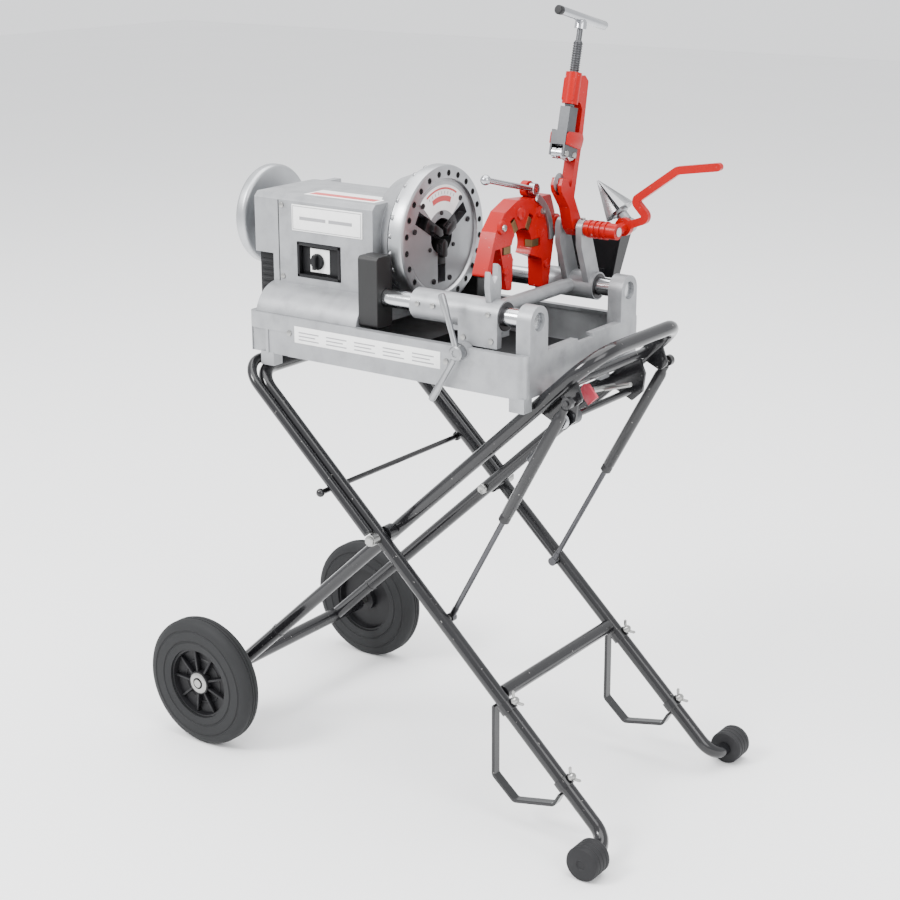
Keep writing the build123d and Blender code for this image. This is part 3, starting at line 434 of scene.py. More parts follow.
class Finishes:
    """The finishes used on the machine and its stand."""

    tube_black = Enamel("stand_enamel", "black_enamel", (0.005, 0.005, 0.006), (0.012, 0.012, 0.013), 0.16)
    strut_black = Enamel("strut_enamel", "black_enamel", (0.007, 0.007, 0.008), (0.016, 0.016, 0.017), 0.3)
    tool_red = Enamel("tool_enamel", "red_enamel", (0.4, 0.003, 0.002), (0.25, 0.002, 0.002), 0.3,
                      peel=0.0001, coat=0.05, shine=0.18)
    cast_grey = CastPaint("cast_grey_paint", "cast_grey", (0.36, 0.367, 0.378), (0.27, 0.276, 0.286), 0.36)
    # Near-black for the rail clamps is painted shade: it stands for the shadowed gap between the housing and
    # the chuck ring.
    clamp_shade_black = CastPaint("rail_clamp_painted_shade", "black_enamel", (0.004, 0.004, 0.0045), (0.01, 0.01, 0.01),
                           0.5, metal=0.1)
    chuck_steel = FacedMetal("chuck_faced_steel", "machined_steel", (0.5, 0.51, 0.525), (0.34, 0.35, 0.36),
                             0.36)
    rail_steel = ToolMarks("rail_ground_steel", "machined_steel", (0.6, 0.61, 0.62), (0.42, 0.43, 0.44), 0.2,
                           Lay.ALONG_X)
    plain_steel = ToolMarks("turned_steel", "machined_steel", (0.36, 0.365, 0.375), (0.24, 0.245, 0.25), 0.36)
    slide_steel = ToolMarks("slide_dark_steel", "machined_steel", (0.13, 0.133, 0.138), (0.07, 0.07, 0.075),
                            0.42)
    zinc = ToolMarks("zinc_plate", "zinc_steel", (0.4, 0.4, 0.39), (0.26, 0.26, 0.25), 0.32)
    zinc_bore = ToolMarks("strut_rod_steel", "zinc_steel", (0.1, 0.1, 0.105), (0.05, 0.05, 0.055), 0.28,
                          Lay.ALONG_Z)
    chrome = ToolMarks("chrome_plate", "chrome_steel", (0.5, 0.51, 0.53), (0.34, 0.345, 0.36), 0.16,
                       scratch=0.00002)
    black_oxide = ToolMarks("black_oxide", "black_steel", (0.03, 0.03, 0.034), (0.075, 0.07, 0.07), 0.4)
    brass = ToolMarks("oiled_tool_steel", "tool_brass", (0.26, 0.16, 0.07), (0.13, 0.08, 0.04), 0.38)
    tyre = Moulded("tyre_tread_rubber", "tyre_rubber", (0.01, 0.0104, 0.011), (0.03, 0.031, 0.033), 0.66,
                    500, 0.0003, 0.3)
    foot = Moulded("foot_moulded_rubber", "foot_rubber", (0.01, 0.01, 0.011), (0.03, 0.03, 0.032), 0.62)
    plastic = Moulded("moulded_black_plastic", "black_plastic", (0.005, 0.005, 0.006), (0.014, 0.014, 0.015),
                      0.45, 900, 0.0001, 0.2)
    bin_plastic = Moulded("bin_plastic", "black_plastic", (0.004, 0.004, 0.005), (0.012, 0.012, 0.013), 0.4,
                           900, 0.0001, 0.2)
    shadow = Moulded("dark_hole", "black_plastic", (0.004, 0.004, 0.004), (0.012, 0.012, 0.012), 0.8)
    label = Printed("white_label", "cast_grey", (0.86, 0.86, 0.85), (0.7, 0.7, 0.69), 0.36)
    label_red = Printed("red_print", "red_enamel", (0.56, 0.05, 0.05), (0.4, 0.05, 0.05), 0.4)
    label_grey = Printed("grey_print", "cast_grey", (0.3, 0.3, 0.31), (0.2, 0.2, 0.21), 0.42)
    latch_pink = Enamel("latch_tab_enamel", "red_enamel", (0.5, 0.06, 0.09), (0.4, 0.04, 0.06), 0.4)


# ---------------------------------------------------------------------------
# Shaping
# ---------------------------------------------------------------------------


def across(axis: Vector) -> Vector:
    """Gives a unit vector square to an axis."""
    other = AXIS_Z if abs(axis.z) < 0.9 else AXIS_X
    return axis.cross(other).normalized()


def bar_frame(origin: Vector, axis: Vector, up: Vector | None = None) -> Matrix:
    """Makes a frame whose Z runs along an axis.

    Args:
        origin: Where the frame sits.
        axis: The way its Z points.
        up: The way its X should point, as nearly as it can.

    Returns:
        The frame's matrix.
    """
    z = axis.normalized()
    x = across(z) if up is None else (up - z * up.dot(z)).normalized()
    y = z.cross(x)
    turn = Matrix((x, y, z)).transposed().to_4x4()
    return Matrix.Translation(origin) @ turn


class Blank:
    """A mesh being shaped, which becomes one named piece."""

    def __init__(self) -> None:
        """Starts with nothing."""
        self.mesh = bmesh.new()

    def turn(self, outline: Sequence[Point], origin: Vector, axis: Vector, steps: int = 48) -> "Blank":
        """Spins an outline round an axis.

        Args:
            outline: (radius, distance along the axis) pairs. It closes on itself unless
                both ends lie on the axis.
            origin: Where the axis starts.
            axis: The way it runs.
            steps: Sides of the round shape.

        Returns:
            The blank itself.
        """
        part = bmesh.new()
        place = bar_frame(origin, axis)
        points = [part.verts.new((radius, 0, along)) for radius, along in outline]
        edges = [part.edges.new(pair) for pair in zip(points, points[1:])]
        if outline[0][0] > 0 or outline[-1][0] > 0:
            edges.append(part.edges.new((points[-1], points[0])))
        bmesh.ops.spin(
            part, geom=points + edges, cent=(0, 0, 0), axis=(0, 0, 1), dvec=(0, 0, 0),
            angle=math.tau, steps=steps, use_merge=True, use_duplicate=False,
        )
        return self.add(part, place)

    def rod(self, start: Point, end: Point, radius: float, edge: float = 0.0008, steps: int = 28) -> "Blank":
        """Adds a round bar with broken edges between two points."""
        run = Vector(end) - Vector(start)
        edge = min(edge, radius * 0.4, run.length * 0.4)
        outline = ((0, 0), (radius - edge, 0), (radius, edge), (radius, run.length - edge),
                   (radius - edge, run.length), (0, run.length))
        return self.turn(outline, Vector(start), run, steps)

    def ring(self, start: Point, end: Point, inner: float, outer: float, edge: float = 0.0006,
             steps: int = 40) -> "Blank":
        """Adds a ring with broken edges between two points on its axis."""
        run = Vector(end) - Vector(start)
        outline = ((inner, 0), (outer - edge, 0), (outer, edge), (outer, run.length - edge),
                   (outer - edge, run.length), (inner, run.length))
        return self.turn(outline, Vector(start), run, steps)

    def plate(self, outline: Sequence[Point], place: Matrix, depth: float, edge: float = 0.0,
              segments: int = 2) -> "Blank":
        """Extrudes a flat outline.

        Args:
            outline: Corners in the place's XY plane.
            place: The frame that the outline lies in.
            depth: How far it reaches along the frame's Z.
            edge: Width of its bevelled edges.
            segments: Steps across each bevel.

        Returns:
            The blank itself.
        """
        part = bmesh.new()
        face = part.faces.new([part.verts.new((x, y, 0)) for x, y in outline])
        pushed = bmesh.ops.extrude_face_region(part, geom=[face])["geom"]
        corners = [item for item in pushed if isinstance(item, bmesh.types.BMVert)]
        bmesh.ops.translate(part, verts=corners, vec=(0, 0, depth))
        self._bevel(part, edge, segments)
        return self.add(part, place)

    def block(self, low: Point, high: Point, edge: float = 0.001, segments: int = 2) -> "Blank":
        """Adds a box with bevelled edges between two corners."""
        part = bmesh.new()
        size = Vector(high) - Vector(low)
        bmesh.ops.create_cube(part, size=1.0, matrix=Matrix.Diagonal((*size, 1.0)))
        self._bevel(part, edge, segments)
        return self.add(part, Matrix.Translation((Vector(low) + Vector(high)) / 2))

    def border(self, low: Point, high: Point, bar: float, edge: float, segments: int = 2) -> "Blank":
        """Adds four bars of one width round the edge of an upright sheet between two corners."""
        (left, front, bottom), (right, back, top) = low, high
        for x, z, x_end, z_end in ((left, bottom, right, bottom + bar), (left, top - bar, right, top),
                                   (left, bottom, left + bar, top), (right - bar, bottom, right, top)):
            self.block((x, front, z), (x_end, back, z_end), edge, segments)
        return self

    def ball(self, centre: Point, radius: float) -> "Blank":
        """Adds a ball."""
        part = bmesh.new()
        bmesh.ops.create_uvsphere(part, u_segments=28, v_segments=16, radius=radius)
        return self.add(part, Matrix.Translation(centre))

    def hexagon(self, origin: Vector, axis: Vector, width: float, height: float) -> "Blank":
        """Adds a six-sided bolt head with a chamfered top."""
        radius = width / math.sqrt(3)
        part = bmesh.new()
        bmesh.ops.create_cone(
            part, cap_ends=True, segments=6, radius1=radius, radius2=radius, depth=height,
            matrix=Matrix.Translation((0, 0, height / 2)),
        )
        self._bevel(part, height * 0.15, 2)
        return self.add(part, bar_frame(origin, axis))

    def tube(self, points: Sequence[Point], bends: Sequence[float], radius: float) -> "Blank":
        """Sweeps a round tube along straight runs joined by bends.

        Args:
            points: Corners of the route, with its two ends.
            bends: The bend radius at each inner corner.
            radius: The tube's radius.

        Returns:
            The blank itself.
        """
        route = [Vector(point) for point in points]
        curve = bpy.data.curves.new("route", "CURVE")
        curve.dimensions = "3D"
        curve.bevel_depth = radius
        curve.bevel_resolution = 7
        curve.resolution_u = 10
        curve.use_fill_caps = True
        knots = [(route[0], route[0], route[0])]
        for before, corner, after, bend in zip(route, route[1:], route[2:], bends):
            back = (before - corner).normalized()
            ahead = (after - corner).normalized()
            turned = math.pi - back.angle(ahead)
            trim = bend * math.tan(turned / 2)
            pull = bend * math.tan(turned / 4) * 4 / 3
            enter = corner + back * trim
            leave = corner + ahead * trim
            knots.append((enter, enter + back * pull, enter - back * pull))
            knots.append((leave, leave - ahead * pull, leave + ahead * pull))
        knots.append((route[-1], route[-1], route[-1]))
        spline = curve.splines.new("BEZIER")
        spline.bezier_points.add(len(knots) - 1)
        for knot, (centre, left, right) in zip(spline.bezier_points, knots):
            knot.handle_left_type = knot.handle_right_type = "FREE"
            knot.co, knot.handle_left, knot.handle_right = centre, left, right
        holder = bpy.data.objects.new("route", curve)
        swept = bpy.data.meshes.new_from_object(holder)
        self.mesh.from_mesh(swept)
        bpy.data.objects.remove(holder)
        bpy.data.curves.remove(curve)
        bpy.data.meshes.remove(swept)
        return self

    def node_copy(self, node: str) -> "Blank":
        """Adds a merged copy of a CAD node, with its flat faces joined."""
        part = bmesh.new()
        part.from_mesh(frame["nodes"][node].data)
        bmesh.ops.remove_doubles(part, verts=part.verts, dist=0.00001)
        bmesh.ops.dissolve_limit(part, angle_limit=math.radians(0.6), verts=part.verts, edges=part.edges)
        return self.add(part, Matrix.Identity(4))

    def _bevel(self, part: bmesh.types.BMesh, edge: float, segments: int) -> None:
        """Bevels every edge of a part."""
        if edge > 0:
            bmesh.ops.bevel(
                part, geom=list(part.edges), offset=edge, offset_type="OFFSET", segments=segments,
                profile=0.5, affect="EDGES", material=-1, clamp_overlap=True,
            )

    def add(self, part: bmesh.types.BMesh, place: Matrix) -> "Blank":
        """Adds a finished part to the blank, with its faces outwards."""
        bmesh.ops.transform(part, matrix=place, verts=part.verts)
        bmesh.ops.remove_doubles(part, verts=part.verts, dist=0.000002)
        bmesh.ops.recalc_face_normals(part, faces=part.faces)
        carrier = bpy.data.meshes.new("carrier")
        part.to_mesh(carrier)
        part.free()
        self.mesh.from_mesh(carrier)
        bpy.data.meshes.remove(carrier)
        return self

    def piece(self, name: str, finish: Finish, body: str, *nodes: str, soften: float = 0.0,
              sharp: float = 35.0) -> bpy.types.Object:
        """Turns the blank into a piece that rides on a body.

        Args:
            name: The piece's name.
            finish: What it is dressed in.
            body: The CAD body that carries it.
            nodes: The CAD nodes that it stands for.
            soften: Width of the bevel on edges sharper than the sharp angle.
            sharp: The angle in degrees past which an edge counts as sharp.

        Returns:
            The piece.
        """
        data = bpy.data.meshes.new(name)
        self.mesh.to_mesh(data)
        self.mesh.free()
        data.shade_smooth()
        data.set_sharp_from_angle(angle=math.radians(sharp))
        made = bpy.data.objects.new(name, data)
        bpy.context.scene.collection.objects.link(made)
        data.materials.append(finish.build())
        if soften > 0:
            bevel = made.modifiers.new("soft_edges", "BEVEL")
            bevel.width = soften
            bevel.segments = 2
            bevel.limit_method = "ANGLE"
            bevel.angle_limit = math.radians(sharp)
            bevel.harden_normals = True
        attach(made, body)
        if nodes:
            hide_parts(*nodes)
        LOG.info("%s rides on %s in %s", name, body, finish.name)
        return made


def dress(finish: Finish, *nodes: str) -> None:
    """Gives CAD nodes that stay as they are a finish.

    Args:
        finish: What they are dressed in.
        nodes: Their names.
    """
    for name in nodes:
        for material_slot in frame["nodes"][name].material_slots:
            material_slot.material = finish.build()
        LOG.info("%s keeps its solid, in %s", name, finish.name)


def softened(node: str, name: str, finish: Finish, body: str, soften: float = 0.0) -> None:
    """Makes a piece of a CAD node's own shape.

    Args:
        node: The CAD node.
        name: The piece's name.
        finish: What it is dressed in.
        body: The CAD body that carries it.
        soften: Width of the bevel on its edges.
    """
    Blank().node_copy(node).piece(name, finish, body, node, soften=soften)


def ray(angle: float) -> Vector:
    """Gives the unit vector at an angle in degrees round X, from +Y towards +Z."""
    return Vector((0, math.cos(math.radians(angle)), math.sin(math.radians(angle))))


def sector(inner: float, outer: float, start: float, end: float, steps: int) -> list[Point]:
    """Gives the outline of part of a ring, by angles in degrees."""
    angles = [math.radians(start + (end - start) * index / steps) for index in range(steps + 1)]
    out = [(outer * math.cos(angle), outer * math.sin(angle)) for angle in angles]
    back = [(inner * math.cos(angle), inner * math.sin(angle)) for angle in reversed(angles)]
    return out + back


def side_frame(x: float, y: float, z: float) -> Matrix:
    """Makes a frame at a point whose X runs along Y, Y runs up and Z runs along X."""
    return bar_frame(Vector((x, y, z)), AXIS_X, AXIS_Y)


def front_frame(x: float, y: float, z: float) -> Matrix:
    """Makes a frame at a point whose X runs along X, Y runs up and Z faces the operator."""
    return bar_frame(Vector((x, y, z)), -AXIS_Y, AXIS_X)


# ---------------------------------------------------------------------------
# Stand
# ---------------------------------------------------------------------------


@dataclass
class Wheels:
    """Two rubber-tyred wheels with ribbed plastic rims.

    Attributes:
        half: Half the tyre's width.
        seat: Radius of the rim under the tyre.
        hub: Radius of the hub.
        ribs: Ribs on each face of a rim.
    """

    half: float = 23 * MM
    seat: float = 70 * MM
    hub: float = 24 * MM
    ribs: int = 9

    def build(self) -> None:
        """Builds both wheels."""
        for side, sign in SIDES:
            low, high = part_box(f"tyre_{side}")
            centre = (low + high) / 2
            out = AXIS_Y * sign
            self.tyre(side, centre, out)
            self.rim(side, centre, out)

    def tyre(self, side: str, centre: Vector, out: Vector) -> None:
        """Turns one tyre with grooved tread and sidewall rings."""
        wall = ((self.seat, -0.9), (0.083, -1.0), (0.0845, -0.93), (0.0865, -0.93), (0.088, -1.0),
                (0.104, -1.0), (0.1055, -0.93), (0.1075, -0.93), (0.109, -0.985), (0.1155, -0.93),
                (0.1215, -0.8), (0.1255, -0.6), (0.127, -0.4))
        tread = ((0.127, -0.2), (0.1255, -0.17), (0.1255, -0.1), (0.127, -0.07))
        half_outline = [(radius, along * self.half) for radius, along in wall + tread]
        outline = half_outline + [(radius, -along) for radius, along in reversed(half_outline)]
        Blank().turn(outline, centre, out, 96).piece(
            f"tyre_{side}_moulded", Finishes.tyre, f"wheel_{side}", f"tyre_{side}", sharp=25)

    def rim(self, side: str, centre: Vector, out: Vector) -> None:
        """Moulds one rim with ribs, and its hub cap."""
        face = 17 * MM
        rim = Blank()
        rim.turn(((self.seat - 0.0003, -face), (self.seat - 0.0003, face), (0.0655, face), (0.063, 0.006),
                  (0.046, 0.004), (0.0445, 0.0055), (0.0415, 0.0055), (0.04, 0.004), (self.hub, 0.005),
                  (self.hub - 0.001, face), (0.0085, face), (0.0085, -face), (self.hub - 0.001, -face),
                  (self.hub, -0.005), (0.063, -0.005), (0.0655, -face)), centre, out, 72)
        outline = ((self.hub - 0.001, 0.003), (0.0645, 0.003), (0.0645, 0.013), (self.hub - 0.001, 0.0155))
        for index in range(self.ribs):
            turned = Matrix.Rotation(math.tau * index / self.ribs, 4, out)
            reach = turned @ across(out)
            edgewise = bar_frame(centre, reach.cross(out), reach)
            shift = Matrix.Translation((0, 0, -0.0022))
            flip = 1 if (edgewise.to_3x3() @ AXIS_Y).dot(out) > 0 else -1
            rim.plate([(x, flip * y) for x, y in outline], edgewise @ shift, 0.0044, 0.0008)
        rim.piece(f"wheel_rim_{side}_moulded", Finishes.plastic, f"wheel_{side}", f"wheel_rim_{side}")
        cap = Blank()
        cap.turn(((0.0086, face), (0.0086, face + 0.0015), (0.012, face + 0.003), (0.0175, face + 0.003),
                  (0.0205, face + 0.0012), (0.0205, face)), centre, out, 48)
        cap.piece(f"hub_washer_{side}", Finishes.zinc, f"wheel_{side}")
        # A thin dark disc closes the hub's bore: painted shade in the hole, in the shadow finish.
        plug = Blank().rod(centre + out * (face + 0.001), centre + out * (face + 0.0038), 0.0115, 0.001)
        plug.piece(f"hub_bore_shade_{side}", Finishes.shadow, f"wheel_{side}")


@dataclass
class Stand:
    """The two tube frames, with everything bolted to them.

    Attributes:
        tube: Radius of the main tubes.
        outer_tube: Radius of the cradle tube.
        leg_y: Where the leg tubes run.
        handle_y: Where the handle tubes run.
        upper: Pivot to the top bar.
        lower: Pivot to the axle.
        grip: Pivot to the cross handle.
        foot: Radius of the feet.
        foot_length: Length of each foot.
        crossbar: Pivot to the lower cross bar.
        tie: Pivot to the tie rod, above it.
        tie_drop: How far the tie rod hangs below the leg tubes' line.
        clamps: Pivot to each pair of clamps.
        strut_stud: Pivot to the struts' lower studs.
    """

    tube: float = 12.7 * MM
    outer_tube: float = 9 * MM
    leg_y: float = 193 * MM
    handle_y: float = 146 * MM
    upper: float = 385 * MM
    lower: float = 525 * MM
    grip: float = 561 * MM
    foot: float = 31 * MM
    foot_length: float = 47 * MM
    crossbar: float = 352 * MM
    tie: float = 126 * MM
    tie_drop: float = 20 * MM
    clamps: tuple[float, float] = (378 * MM, 540 * MM)
    strut_stud: float = 190 * MM

    def __post_init__(self) -> None:
        """Works out the slope of the frames from the joints."""
        self.pivot = joint_at("fold")
        run = self.pivot - joint_at("machine_level")
        self.leg_way = run.normalized()
        self.handle_way = Vector((self.leg_way.x, 0, -self.leg_way.z))

    def leg(self, along: float, y: float = 0.0, rise: float = 0.0) -> Vector:
        """Gives a point on the leg frame, from the pivot towards the feet."""
        square = Vector((-self.leg_way.z, 0, self.leg_way.x))
        return self.pivot + self.leg_way * along + AXIS_Y * y + square * rise

    def handle(self, along: float, y: float = 0.0, rise: float = 0.0) -> Vector:
        """Gives a point on the handle frame, from the pivot towards the grip."""
        square = Vector((-self.handle_way.z, 0, self.handle_way.x))
        return self.pivot + self.handle_way * along + AXIS_Y * y + square * rise

    def build(self) -> None:
        """Builds the frames and their fittings."""
        self.leg_frame()
        self.handle_frame()
        self.fasteners()
        self.feet()
        self.latch()
        softened("stirrups", "pedal_loops", Finishes.tube_black, "leg_frame", 0.0012)
        dress(Finishes.zinc, "wheel_axle")

    def leg_frame(self) -> None:
        """Bends the leg tube and the cradle tube outside it, and adds the cross bars."""
        floor = (self.pivot.z - self.foot) / -self.leg_way.z
        corner = self.leg(floor)
        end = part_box("leg_frame_tube")[1].y
        low_end, high_end = ((corner.x, sign * end, self.foot) for sign in (-1, 1))
        route = [low_end, self.leg(floor, -self.leg_y), self.leg(-self.upper, -self.leg_y),
                 self.leg(-self.upper, self.leg_y), self.leg(floor, self.leg_y), high_end]
        legs = Blank().tube(route, (0.038, 0.045, 0.045, 0.038), self.tube)
        for _, sign in SIDES:
            tie = self.leg(-self.tie, sign * self.leg_y)
            lug = bar_frame(tie + AXIS_Y * 0.003, -AXIS_Y, self.leg_way)
            down = -1 if (lug.to_3x3() @ AXIS_Y).z > 0 else 1
            corners = ((-0.009, 0.0115), (0.009, 0.0115), (0.009, 0.021),
                       (0.0055, 0.0275), (-0.0055, 0.0275), (-0.009, 0.021))
            legs.plate([(x, down * y) for x, y in corners], lug, 0.006, 0.0008)
        legs.piece("leg_tube_bent", Finishes.tube_black, "leg_frame", "leg_frame_tube")

        side_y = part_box("cradle_tube")[1].y - self.outer_tube
        top = self.upper + self.tube + self.outer_tube + GAP
        route = [self.leg(-0.014, -side_y), self.leg(-top, -side_y), self.leg(-top, side_y),
                 self.leg(-0.014, side_y)]
        cradle = Blank().tube(route, (0.052, 0.052), self.outer_tube)
        cradle.piece("cradle_tube_bent", Finishes.tube_black, "leg_frame", "cradle_tube")
        reach = self.leg_y - self.tube - GAP
        ends = [self.leg(self.crossbar, sign * reach) for _, sign in SIDES]
        bar = Blank().rod(*ends, self.tube, steps=40)
        bar.piece("lower_cross_tube", Finishes.tube_black, "leg_frame", "lower_crossbar")
        tie_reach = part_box("tie_rod")[1].y - 0.008
        ends = [self.leg(-self.tie, sign * tie_reach, -self.tie_drop) for _, sign in SIDES]
        tie = Blank().rod(*ends, 0.005)
        for end in ends:
            tie.ball(end, 0.008)
        tie.piece("tie_rod_turned", Finishes.tube_black, "leg_frame", "tie_rod")

    def handle_frame(self) -> None:
        """Bends the handle tube and adds the axle tube and strut brackets."""
        route = [self.handle(-self.lower + 0.006, -self.handle_y), self.handle(self.grip, -self.handle_y),
                 self.handle(self.grip, self.handle_y), self.handle(-self.lower + 0.006, self.handle_y)]
        tubes = Blank().tube(route, (0.062, 0.062), self.tube)
        axle = joint_at("wheel_spin_front")
        reach = abs(axle.y) - 0.037
        tubes.ring((axle.x, -reach, axle.z), (axle.x, reach, axle.z), 0.0081, 0.014)
        strut = joint_at("strut_swing_front")
        for _, sign in SIDES:
            eye = Vector((strut.x, sign * 0.143, strut.z))
            plate = bar_frame(eye + AXIS_Y * 0.003, -AXIS_Y, self.handle_way)
            up = 1 if (plate.to_3x3() @ AXIS_Y).z > 0 else -1
            corners = ((-0.022, 0.0205), (0.022, 0.0205), (0.011, -0.006), (0.006, -0.009),
                       (-0.006, -0.009), (-0.011, -0.006))
            tubes.plate([(x, up * y) for x, y in corners], plate, 0.006, 0.0008)
            stud = Vector((strut.x, sign * 0.145, strut.z))
            tubes.rod(stud, stud + AXIS_Y * sign * 0.0335, 0.005)
        tubes.piece("handle_tube_bent", Finishes.tube_black, "handle_frame", "handle_frame_tube")
        grip = Blank()
        for sign in (-1, 1):
            grip.ring(self.handle(-0.4, sign * self.handle_y), self.handle(-0.392, sign * self.handle_y),
                      self.tube, self.tube + 0.0008)
        grip.piece("handle_weld_rings", Finishes.tube_black, "handle_frame")

    def wing_nut(self, blank: Blank, origin: Vector, axis: Vector, spread: Vector) -> None:
        """Adds a wing nut: a turned boss with two ears."""
        blank.turn(((0, 0), (0.0075, 0), (0.0062, 0.006), (0.0045, 0.0085), (0, 0.0085)), origin, axis, 20)
        for sign in (-1, 1):
            ear = bar_frame(origin + spread.cross(axis).normalized() * -0.0012, spread.cross(axis), spread)
            up = 1 if (ear.to_3x3() @ AXIS_Y).dot(axis) > 0 else -1
            corners = ((0.003, 0.001), (0.009, 0.0025), (0.0155, 0.0085), (0.016, 0.0125), (0.0125, 0.0135),
                       (0.007, 0.008), (0.003, 0.007))
            blank.plate([(sign * x, up * y) for x, y in corners], ear, 0.0024, 0.0006)

    def fasteners(self) -> None:
        """Fits the clamp bands, wing nuts, pivot bolts and their collars."""
        bands = Blank()
        nuts = Blank()
        for _, sign in SIDES:
            for along in self.clamps:
                start = self.leg(along - 0.009, sign * self.leg_y)
                bands.ring(start, start + self.leg_way * 0.018, self.tube + 0.0001, self.tube + 0.0033)
                stud = self.leg(along, sign * self.leg_y, self.tube + 0.002)
                square = (self.leg(0, 0, 1) - self.leg(0)).normalized()
                nuts.rod(stud, stud + square * 0.014, 0.0035)
                self.wing_nut(nuts, stud + square * 0.006, square, self.leg_way)
            start = self.pivot + AXIS_Y * sign * (self.handle_y + self.tube + GAP)
            bands.ring(start, start + AXIS_Y * sign * 0.0215, 0.006, 0.015)
            head = self.pivot + AXIS_Y * sign * 0.2272
            nuts.rod(self.pivot + AXIS_Y * sign * (self.handle_y - 0.0195), head, 0.006)
            nuts.ring(head - AXIS_Y * sign * 0.0215, head - AXIS_Y * sign * 0.004, 0.006, 0.0105)
            nuts.hexagon(head - AXIS_Y * sign * 0.004, AXIS_Y * sign, 0.017, 0.0039)
            inner = self.pivot + AXIS_Y * sign * (self.handle_y - self.tube)
            nuts.hexagon(inner, -AXIS_Y * sign, 0.018, 0.008)
            stud = self.leg(self.strut_stud, sign * (self.leg_y - self.tube - 0.0045))
            nuts.rod(stud, stud + AXIS_Y * sign * (2 * self.tube + 0.0035), 0.006)
        bands.piece("clamp_bands", Finishes.tube_black, "leg_frame", "stand_fasteners")
        nuts.piece("wing_nuts_and_bolts", Finishes.zinc, "leg_frame")

    def feet(self) -> None:
        """Turns the two rubber feet."""
        feet = Blank()
        low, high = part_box("feet")
        centre = Vector(((low.x + high.x) / 2, 0, self.foot))
        for _, sign in SIDES:
            start = centre + AXIS_Y * sign * (high.y - self.foot_length)
            outline = [(self.tube + 0.0001, 0), (0.026, 0), (0.029, 0.001), (0.031, 0.004)]
            for groove in (0.013, 0.0235, 0.034):
                outline += [(0.031, groove - 0.0016), (0.0298, groove), (0.031, groove + 0.0016)]
            outline += [(0.031, 0.042), (0.029, 0.0458), (0.026, 0.047), (0.009, 0.047), (0.0075, 0.0455),
                        (0, 0.0455), (0, 0.0352), (self.tube + 0.0001, 0.0352)]
            feet.turn(outline, start, AXIS_Y * sign, 48)
        feet.piece("feet_moulded", Finishes.foot, "leg_frame", "feet", sharp=28)

    def latch(self) -> None:
        """Dresses the latch under the grip and adds its knob, tab and pin."""
        softened("latch_bar", "latch_bars", Finishes.tube_black, "handle_frame", 0.0008)
        softened("latch_lever", "latch_lever_bent", Finishes.slide_steel, "latch")
        pivot = joint_at("latch_swing")
        knob = Blank()
        start = Vector((pivot.x, -0.124, pivot.z))
        knob.turn(((0, 0), (0.007, 0), (0.007, 0.004), (0.013, 0.006), (0.0145, 0.010), (0.013, 0.0145),
                   (0.008, 0.0165), (0, 0.0168)), start, -AXIS_Y, 32)
        knob.piece("latch_knob", Finishes.chrome, "handle_frame")
        tab = Blank()
        spot = self.handle(0.445, -0.05, -0.022)
        tab.plate(((-0.012, -0.016), (0.012, -0.016), (0.013, 0.012), (0.004, 0.018), (-0.011, 0.012)),
                  bar_frame(spot, -AXIS_Y, self.handle_way), 0.006, 0.001)
        tab.piece("latch_tab", Finishes.latch_pink, "handle_frame")
        pin = Blank()
        pin.rod(self.handle(0.455, -0.02, -0.028), self.handle(0.505, -0.02, -0.052), 0.004)
        pin.rod(self.handle(0.455, -0.05, -0.022), self.handle(0.455, 0.012, -0.03), 0.005)
        pin.piece("latch_pin", Finishes.zinc, "handle_frame")


@dataclass
class GasStruts:
    """The two gas struts that hold the stand open.

    Attributes:
        length: Length of each cylinder from its upper eye.
        radius: Cylinder radius.
    """

    length: float = 262 * MM
    radius: float = 10.3 * MM

    def build(self) -> None:
        """Builds both struts."""
        for side, sign in SIDES:
            top = joint_at(f"strut_swing_{side}")
            way = Vector(JOINTS[f"strut_stroke_{side}"]["axis"])
            end = self.length
            body = Blank()
            body.turn(((0.0054, 0.040), (0.0054, end), (0.0085, end), (0.0102, end - 0.002),
                       (0.0102, end - 0.012), (0.0096, end - 0.0135), (0.0096, end - 0.0155),
                       (self.radius, end - 0.017), (self.radius, 0.032), (0.0088, 0.026), (0.0068, 0.022),
                       (0.0068, 0.012), (0.003, 0.0105), (0, 0.0105), (0, 0.040)), top, way, 40)
            body.ring(top - AXIS_Y * sign * 0.0055, top + AXIS_Y * sign * 0.0055, 0.0051, 0.0098)
            body.rod(top + way * 0.0075, top + way * 0.014, 0.0052)
            body.piece(f"strut_cylinder_{side}_turned", Finishes.strut_black, f"strut_cylinder_{side}",
                       f"strut_cylinder_{side}")
            dress(Finishes.zinc_bore, f"strut_rod_{side}")


# ---------------------------------------------------------------------------
# Machine
# ---------------------------------------------------------------------------


